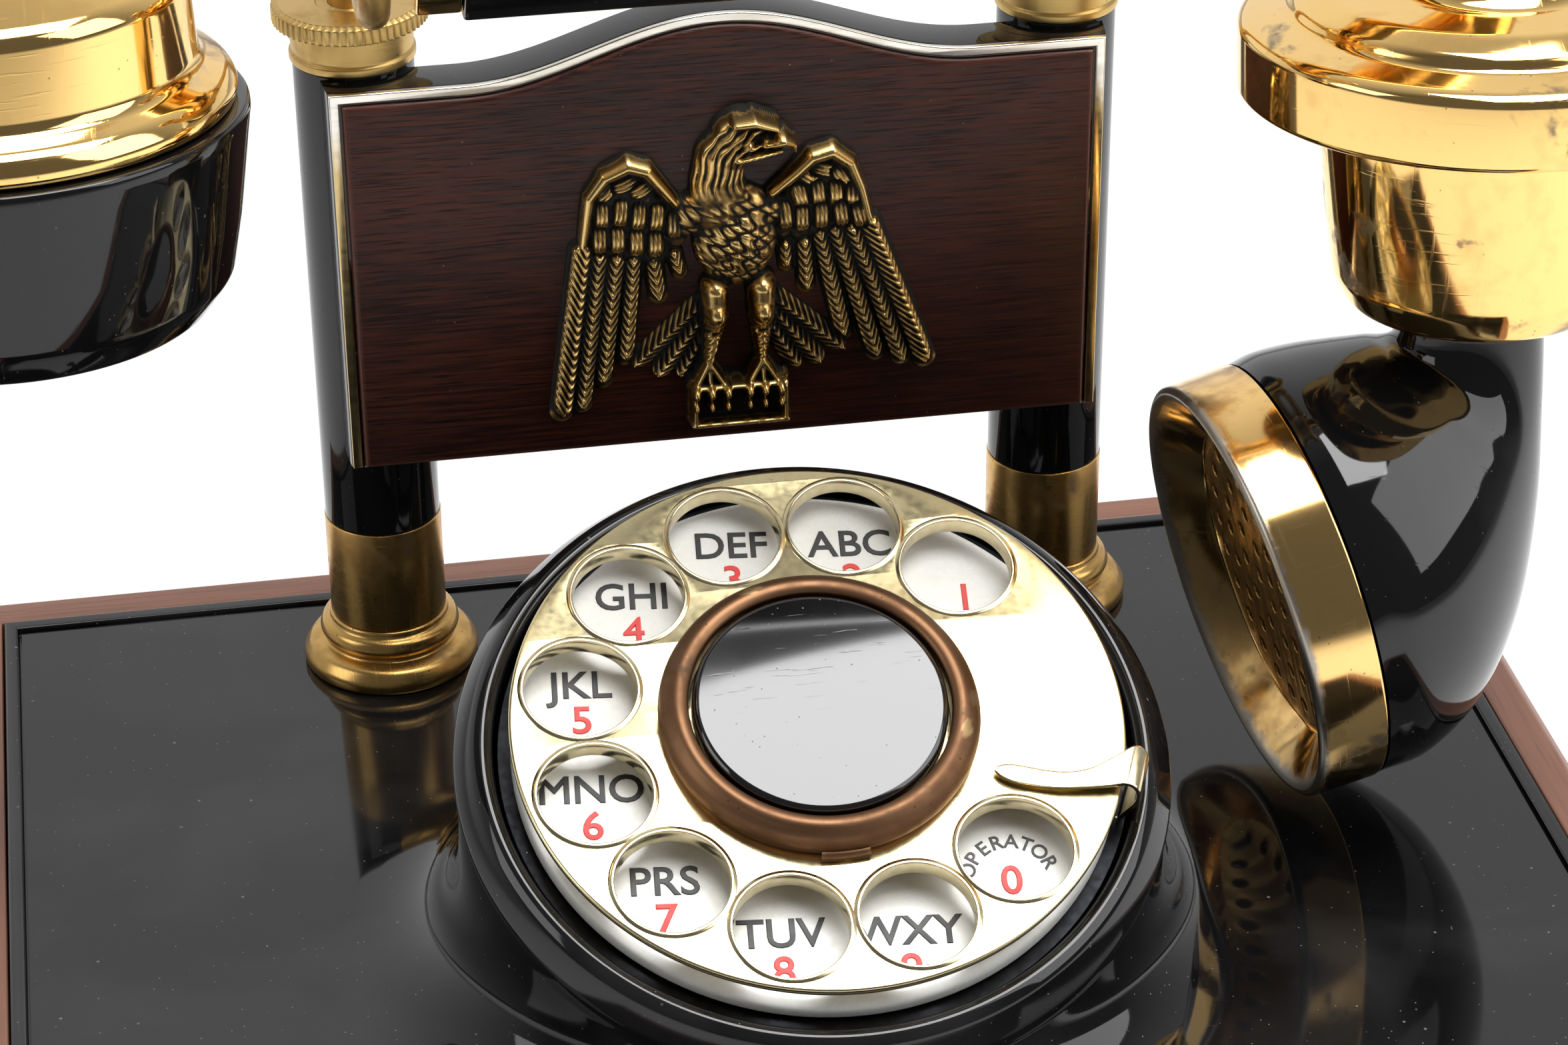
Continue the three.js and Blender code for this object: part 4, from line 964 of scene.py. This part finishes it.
    # Feathered thighs with smooth knees, shanks, toes over the edge of a hollow plinth.
    for x0, foot in ((-3.3, -4.4), (3.0, 2.9)):
        phase = np.abs(np.cos(math.pi * (z + 0.9 * np.abs(x - x0)) / 1.1)) ** 0.8
        relief.rope([(x0, 22), (x0, 17.5)], [2.1, 1.9], [4.6, 4.4])
        relief.rope([(x0, 16.8), (foot, 11.4)], [1.75, 0.95], [3.6, 3.3], 0.7 * phase - 0.4)
        relief.oval((x0, 18.9), (1.85, 2.5), 5.6)
        relief.carve([(x0 - 1.2, 15.8), (x0 + 1.2, 15.8)], 0.35, 0.6)
        for toe in (-2.1, 0, 2.2):
            relief.rope([(foot, 11.2), (foot + 0.9 * toe, 8)], [0.8, 0.7], [3.6, 4.2])
            relief.oval((foot + toe + 0.1, 7.4), (0.98, 1.5), 5.7)
            relief.oval((foot + toe + 0.1, 5.2), (0.75, 1.3), 5.2)
    block = (((-6.7, 2.3), (6.1, 2.3)), ((-6.5, 2.3), (-6.5, 8)), ((5.9, 2.3), (5.9, 8)),
        ((-6.5, 7.9), (5.9, 7.9)))
    for start, end in block:
        relief.rope([start, end], [0.75, 0.75], [4.5, 4.5])
    floor = np.minimum.reduce([x + 6.6, 6.0 - x, z - 2.2, 8 - z])
    relief.raise_to(floor, np.full(x.shape, 1.9))
    return relief


def relief_piece(name, relief, material, body, place, nodes):
    """The relief as a mesh of quads wherever it rises above the plaque, with how worn each point is."""
    height = blurred(relief.h, 0.07)
    rows, columns = height.shape
    seen = np.maximum.reduce([height[:-1, :-1], height[1:, :-1], height[:-1, 1:], height[1:, 1:]]) > 0
    index = np.arange(rows * columns).reshape(rows, columns)
    quads = np.stack([index[:-1, :-1], index[:-1, 1:], index[1:, 1:], index[1:, :-1]], -1)[seen]
    used, faces = np.unique(quads, return_inverse=True)
    points = np.stack([relief.x, -height, relief.z], -1).reshape(-1, 3)[used]
    worn = np.clip(0.42 + 1.5 * (height - blurred(height, 0.55)) + 0.07 * (height - 2.4), 0, 1)
    obj = piece(name, (points.tolist(), faces.reshape(-1, 4).tolist()), material, body, place, nodes, angle=180)
    layer = obj.data.attributes.new("worn", "FLOAT", "POINT")
    layer.data.foreach_set("value", worn.ravel()[used].astype(np.float32))
    return obj


relief_piece("cast_eagle", eagle_relief(), ANTIQUE, "phone",
    Matrix.Translation((EAGLE_X, FRONT - 0.4, EAGLE_Z)), "brass_eagle")

# ---- handset ----
HAND_PLACE = Matrix.Translation(HAND) @ Matrix.Rotation(HAND_ROLL, 4, "X")


def octagonal(radius_low, radius_high, low, high, edge):
    """An eight-sided bar along X with softened ends and corners."""
    rings = []
    for x, r in rounded([(low, 0.1), (low, radius_low), (high, radius_high), (high, 0.1)], edge, 4,
        closed=False):
        corners = [(r * math.cos(a),
            r * math.sin(a)) for a in (math.pi / 8 + math.pi * k / 4 for k in range(8))]
        rings.append([(x, p, q) for p, q in rounded(corners, min(0.6, r * 0.2), 3)])
    return skin(rings)


piece("grip_bar", octagonal(GRIP_R, GRIP_R, -GRIP_HALF, GRIP_HALF, 0.6), BLACK_CLEAN, "handset", HAND_PLACE,
    "handset_grip", 50)
for side, sign in (("left", -1), ("right", 1)):
    near, far = GRIP_HALF + 0.05, GRIP_HALF + FERRULE_L
    a, b = (near, far) if sign > 0 else (-far, -near)
    piece(f"gold_ferrule_{side}", octagonal(GRIP_R - 1, GRIP_R - 1, a, b, 0.5), GOLD, "handset", HAND_PLACE,
        f"grip_ferrule_{side}", 50)
neck_from = GRIP_HALF + FERRULE_L - 0.2


def neck_radius(t):
    return NECK_R - 0.7 * math.sin(math.pi * t)


piece("gold_neck_left", tube([(-neck_from, 0, 0), (-56, 0, 0.5), (-68, 0, 8), (-79, 0, 15.5), (-88, 0, 17.5),
                              (EAR_X + 0.2, 0, 14), (EAR_X, 0, 7)], neck_radius, 32, 80), GOLD, "handset",
                              HAND_PLACE, "receiver_neck")
piece("gold_neck_right", tube([(neck_from, 0, 0), (66, 0, 0.6), (80, 0, 1.4), (89.5, 0, -0.8),
    (MOUTH_X - 0.2, 0, -5),
                               (MOUTH_X, 0, -11)], neck_radius, 32, 80), GOLD, "handset", HAND_PLACE,
                               "transmitter_neck")
EAR_PLACE = HAND_PLACE @ Matrix.Translation((EAR_X, 0, 0))
piece("receiver_gold_cap", turned(
    [(0, 1), (20, -4), (22.5, -14), (25, -17.2), (28.9, -17.2), (29.4, -15.4), (28.2, -13.4), (25.6, -12.2),
    (24.9, -11.2),
     (24.6, -1.8), (23.6, -0.4), (19, 2.2), (12, 4.6), (8, 5.4), (7.2, 8), (0, 8)], 0.9, 128), GOLD, "handset",
     EAR_PLACE, "receiver_cap")
piece("receiver_black_cup", turned(
    [(0, -40), (23.6, -40), (26, -37), (27.4, -17.25), (30.4, -17.25), (30.6, -18.4), (30.2, -21), (28.7, -31),
    (27.2, -38.5), (24.2, -42.6),
     (20, -44), (13, -43), (0, -42.4)], 0.8, 128), BLACK_CLEAN, "handset", EAR_PLACE, "receiver_cup")
MOUTH_PLACE = HAND_PLACE @ Matrix.Translation((MOUTH_X, 0, 0))
piece("transmitter_gold_disc", turned(
    [(0, -15.4), (17, -18), (24, -21.5), (24, -29.6), (30.7, -29.6), (31.3, -29), (31.3, -20.8), (30.2, -19.8),
    (25.3, -18.9), (24.4, -17.3),
     (21.4, -15.6), (15, -14.6), (13.5, -13.4), (13.2, -11.9), (11, -10.8), (9, -10), (6.6, -9.6), (6.2, -9.4),
     (0, -9.4)], 0.7, 128), GOLD,
    "handset", MOUTH_PLACE, "transmitter_flange")
piece("transmitter_gold_cup", turned(
    [(0, -59), (14, -59), (16.8, -57.4), (18.4, -54), (19.6, -45), (21.2, -29.7), (19.4, -29.7), (17.6, -46),
    (15.6, -56),
     (0, -56.6)], 0.9, 128), GOLD, "handset", MOUTH_PLACE, "transmitter_cup")
ELBOW_PLACE = MOUTH_PLACE @ Matrix.Rotation(ELBOW_TWIST, 4, "Z")
# Outer and inner edge of the horn, as (x, z) pairs in the elbow's plane: each pair is one section's diameter.
HORN_EDGES = [
    ((9.2, -59.1), (-9.2, -59.1)), ((9.4, -72), (-10.2, -63.4)), ((8.5, -86), (-13.4, -63.5)),
    ((5.2, -100.6), (-17.5, -63.8)),
    ((-0.8, -112.4), (-21.5, -64.2)), ((-8.8, -119.6), (-26, -65)), ((-16.4, -121.9), (-29.2, -66.3))]
outers = spline([(x, 0, z) for (x, z), _ in HORN_EDGES], 64)
inners = spline([(x, 0, z) for _, (x, z) in HORN_EDGES], 64)
horn = []
for outer, inner_edge in zip(outers, inners):
    centre, u = (outer + inner_edge) / 2, (outer - inner_edge) / 2
    horn.append([centre + u * math.cos(a) + Vector((0, u.length * math.sin(a),
        0)) for a in (2 * math.pi * i / 96 for i in range(96))])
piece("black_horn", skin(horn), BLACK_CLEAN, "handset", ELBOW_PLACE, "horn_elbow")
across = (outers[-1] - inners[-1]).normalized()
face_out = across.cross(Vector((0, 1, 0))).normalized()
face_out = -face_out if face_out.x > 0 else face_out
ring_centre = (outers[-1] + inners[-1]) / 2 + face_out * (GAP + RING_W)
ring_turn = UP.rotation_difference(face_out).to_matrix().to_4x4()
RING_PLACE = ELBOW_PLACE @ Matrix.Translation(ring_centre) @ ring_turn
piece("mouthpiece_gold_ring", turned(
    [(21.2, -5.3), (24.6, -2.4), (26.7, -0.5), (27.7, 0), (28.5, -0.6), (28.7, -RING_W), (25.6, -RING_W),
    (25.2, -6), (21.2, -6)], 0.4, 128),
    RING_GOLD, "handset", RING_PLACE, "mouthpiece_ring")
grille_holes = [circle(1.05, 20, *clockwise(360 * i / count + 7 * count, radius))
                for radius, count in ((0, 1), (4.6, 6), (9.2, 12), (13.8, 18),
                (18.2, 24)) for i in range(count)]
plate("perforated_grille", [circle(21.4, 96), *grille_holes], 0.9, 0.15, BRASS, "handset",
    RING_PLACE @ Matrix.Translation((0, 0, -5.5)), "mouthpiece_grille")

# ---- cradle forks ----
seat = HAND.z - NECK_R - GAP
for side, sign in (("left", -1), ("right", 1)):
    x = sign * POST.x
    arm = tube([(x, POST.y, CAP_HIGH.z - 0.4), (x, POST.y, CAP_HIGH.z + 8), (x, POST.y - 5, CAP_HIGH.z + 15),
        (x, (POST.y + HAND.y) / 2, CAP_HIGH.z + 19),
                (x, HAND.y + 9.5, seat + 0.5)], lambda t: 2.9 - 0.7 * math.sin(math.pi * t), 20, 60)
    heights = [13, 5, -0.2, -2, -0.2, 5, 11]
    fork = tube([(x, HAND.y + dy, seat + dz) for dy, dz in zip([13, 12.2, 7.6, 0, -7.6, -12.2, -13], heights)],
        lambda t: 2.0, 20, 60)
    piece(f"brass_fork_{side}", [arm, fork, ball((x, HAND.y - 13, seat + 12), 3.6),
        ball((x, HAND.y + 13, seat + 14), 3.6)],
          RAW_BRASS, "cradle", nodes=f"cradle_fork_{side}")

# ---- feet ----
for corner in ("front_left", "front_right", "rear_left", "rear_right"):
    spot = middle(f"rubber_foot_{corner}")
    foot = turned([(0, 0), (7.2, 0), (8, 1.7), (0, 1.7)], 0.4, 48)
    piece(f"round_foot_{corner}", foot, RUBBER, "phone", Matrix.Translation((spot.x, spot.y, 0)),
        f"rubber_foot_{corner}")

# ---- floor, light and camera ----
SHOT = Vector((-73.99, -428.37, 356.59)) * MM
RIGHT = Vector((0.98553162, -0.1693513, -0.00689596))
DOWN = Vector((-0.09216636, -0.50132482, -0.86033644))
AHEAD = RIGHT.cross(DOWN)
SENSOR_W = 36
FOCAL_LENGTH = 94.52
FLOOR_HALF = 6


def stage_mesh(name, points, faces, material):
    mesh = bpy.data.meshes.new(name)
    mesh.from_pydata(points, [], faces)
    mesh.materials.append(material)
    obj = bpy.data.objects.new(name, mesh)
    bpy.context.scene.collection.objects.link(obj)
    return obj


paper = plain("white_paper", "white_enamel", (0.9, 0.9, 0.9), (0.88, 0.88, 0.885), 0.7)
stage_mesh("floor", [(x * FLOOR_HALF, y * FLOOR_HALF, 0) for x, y in ((-1, -1), (1, -1), (1, 1), (-1, 1))],
           [[0, 1, 2, 3]], paper)


def softbox(name, place, target, size, watts):
    light = bpy.data.lights.new(name, "AREA")
    light.shape = "RECTANGLE"
    light.size, light.size_y = size
    light.energy = watts
    obj = bpy.data.objects.new(name, light)
    bpy.context.scene.collection.objects.link(obj)
    obj.location = place
    obj.rotation_euler = (Vector(target) - Vector(place)).to_track_quat("-Z", "Y").to_euler()


softbox("overhead", (0.25, -0.093, 1.3), (0.235, -0.03, 0), (0.75, 0.7), 16)
softbox("window_left", (-1.3, -0.2, 0.8), (0, 0, 0.1), (0.7, 0.8), 4)
softbox("window_right", (0.9, -0.4, 0.8), (0, 0, 0.1), (0.8, 1.0), 7)
bpy.context.scene.view_settings.view_transform = "Standard"
world = bpy.data.worlds.new("studio")
bpy.context.scene.world = world
world.use_nodes = True
sky = world.node_tree
# The paper sweeps up bright behind the telephone and the room in front of it is dim.
toward = sky.nodes.new("ShaderNodeTexCoord").outputs["Generated"]
parts = sky.nodes.new("ShaderNodeSeparateXYZ")
shade = sky.nodes.new("ShaderNodeMapRange")
sky.links.new(toward, parts.inputs["Vector"])
sky.links.new(parts.outputs["Y"], shade.inputs["Value"])
for key, value in {"From Min": -0.15, "From Max": 0.8, "To Min": 0.12, "To Max": 0.9}.items():
    shade.inputs[key].default_value = value
sky.nodes["Background"].inputs["Color"].default_value = (1, 1, 1, 1)
sky.links.new(shade.outputs["Result"], sky.nodes["Background"].inputs["Strength"])
camera = bpy.data.cameras.new("photo_camera")
camera.sensor_width = SENSOR_W
camera.lens = FOCAL_LENGTH
camera.clip_start = 0.01
camera_object = bpy.data.objects.new("photo_camera", camera)
bpy.context.scene.collection.objects.link(camera_object)
camera_object.matrix_world = Matrix.Translation(SHOT) @ Matrix((RIGHT, -DOWN, -AHEAD)).transposed().to_4x4()
bpy.context.scene.camera = camera_object
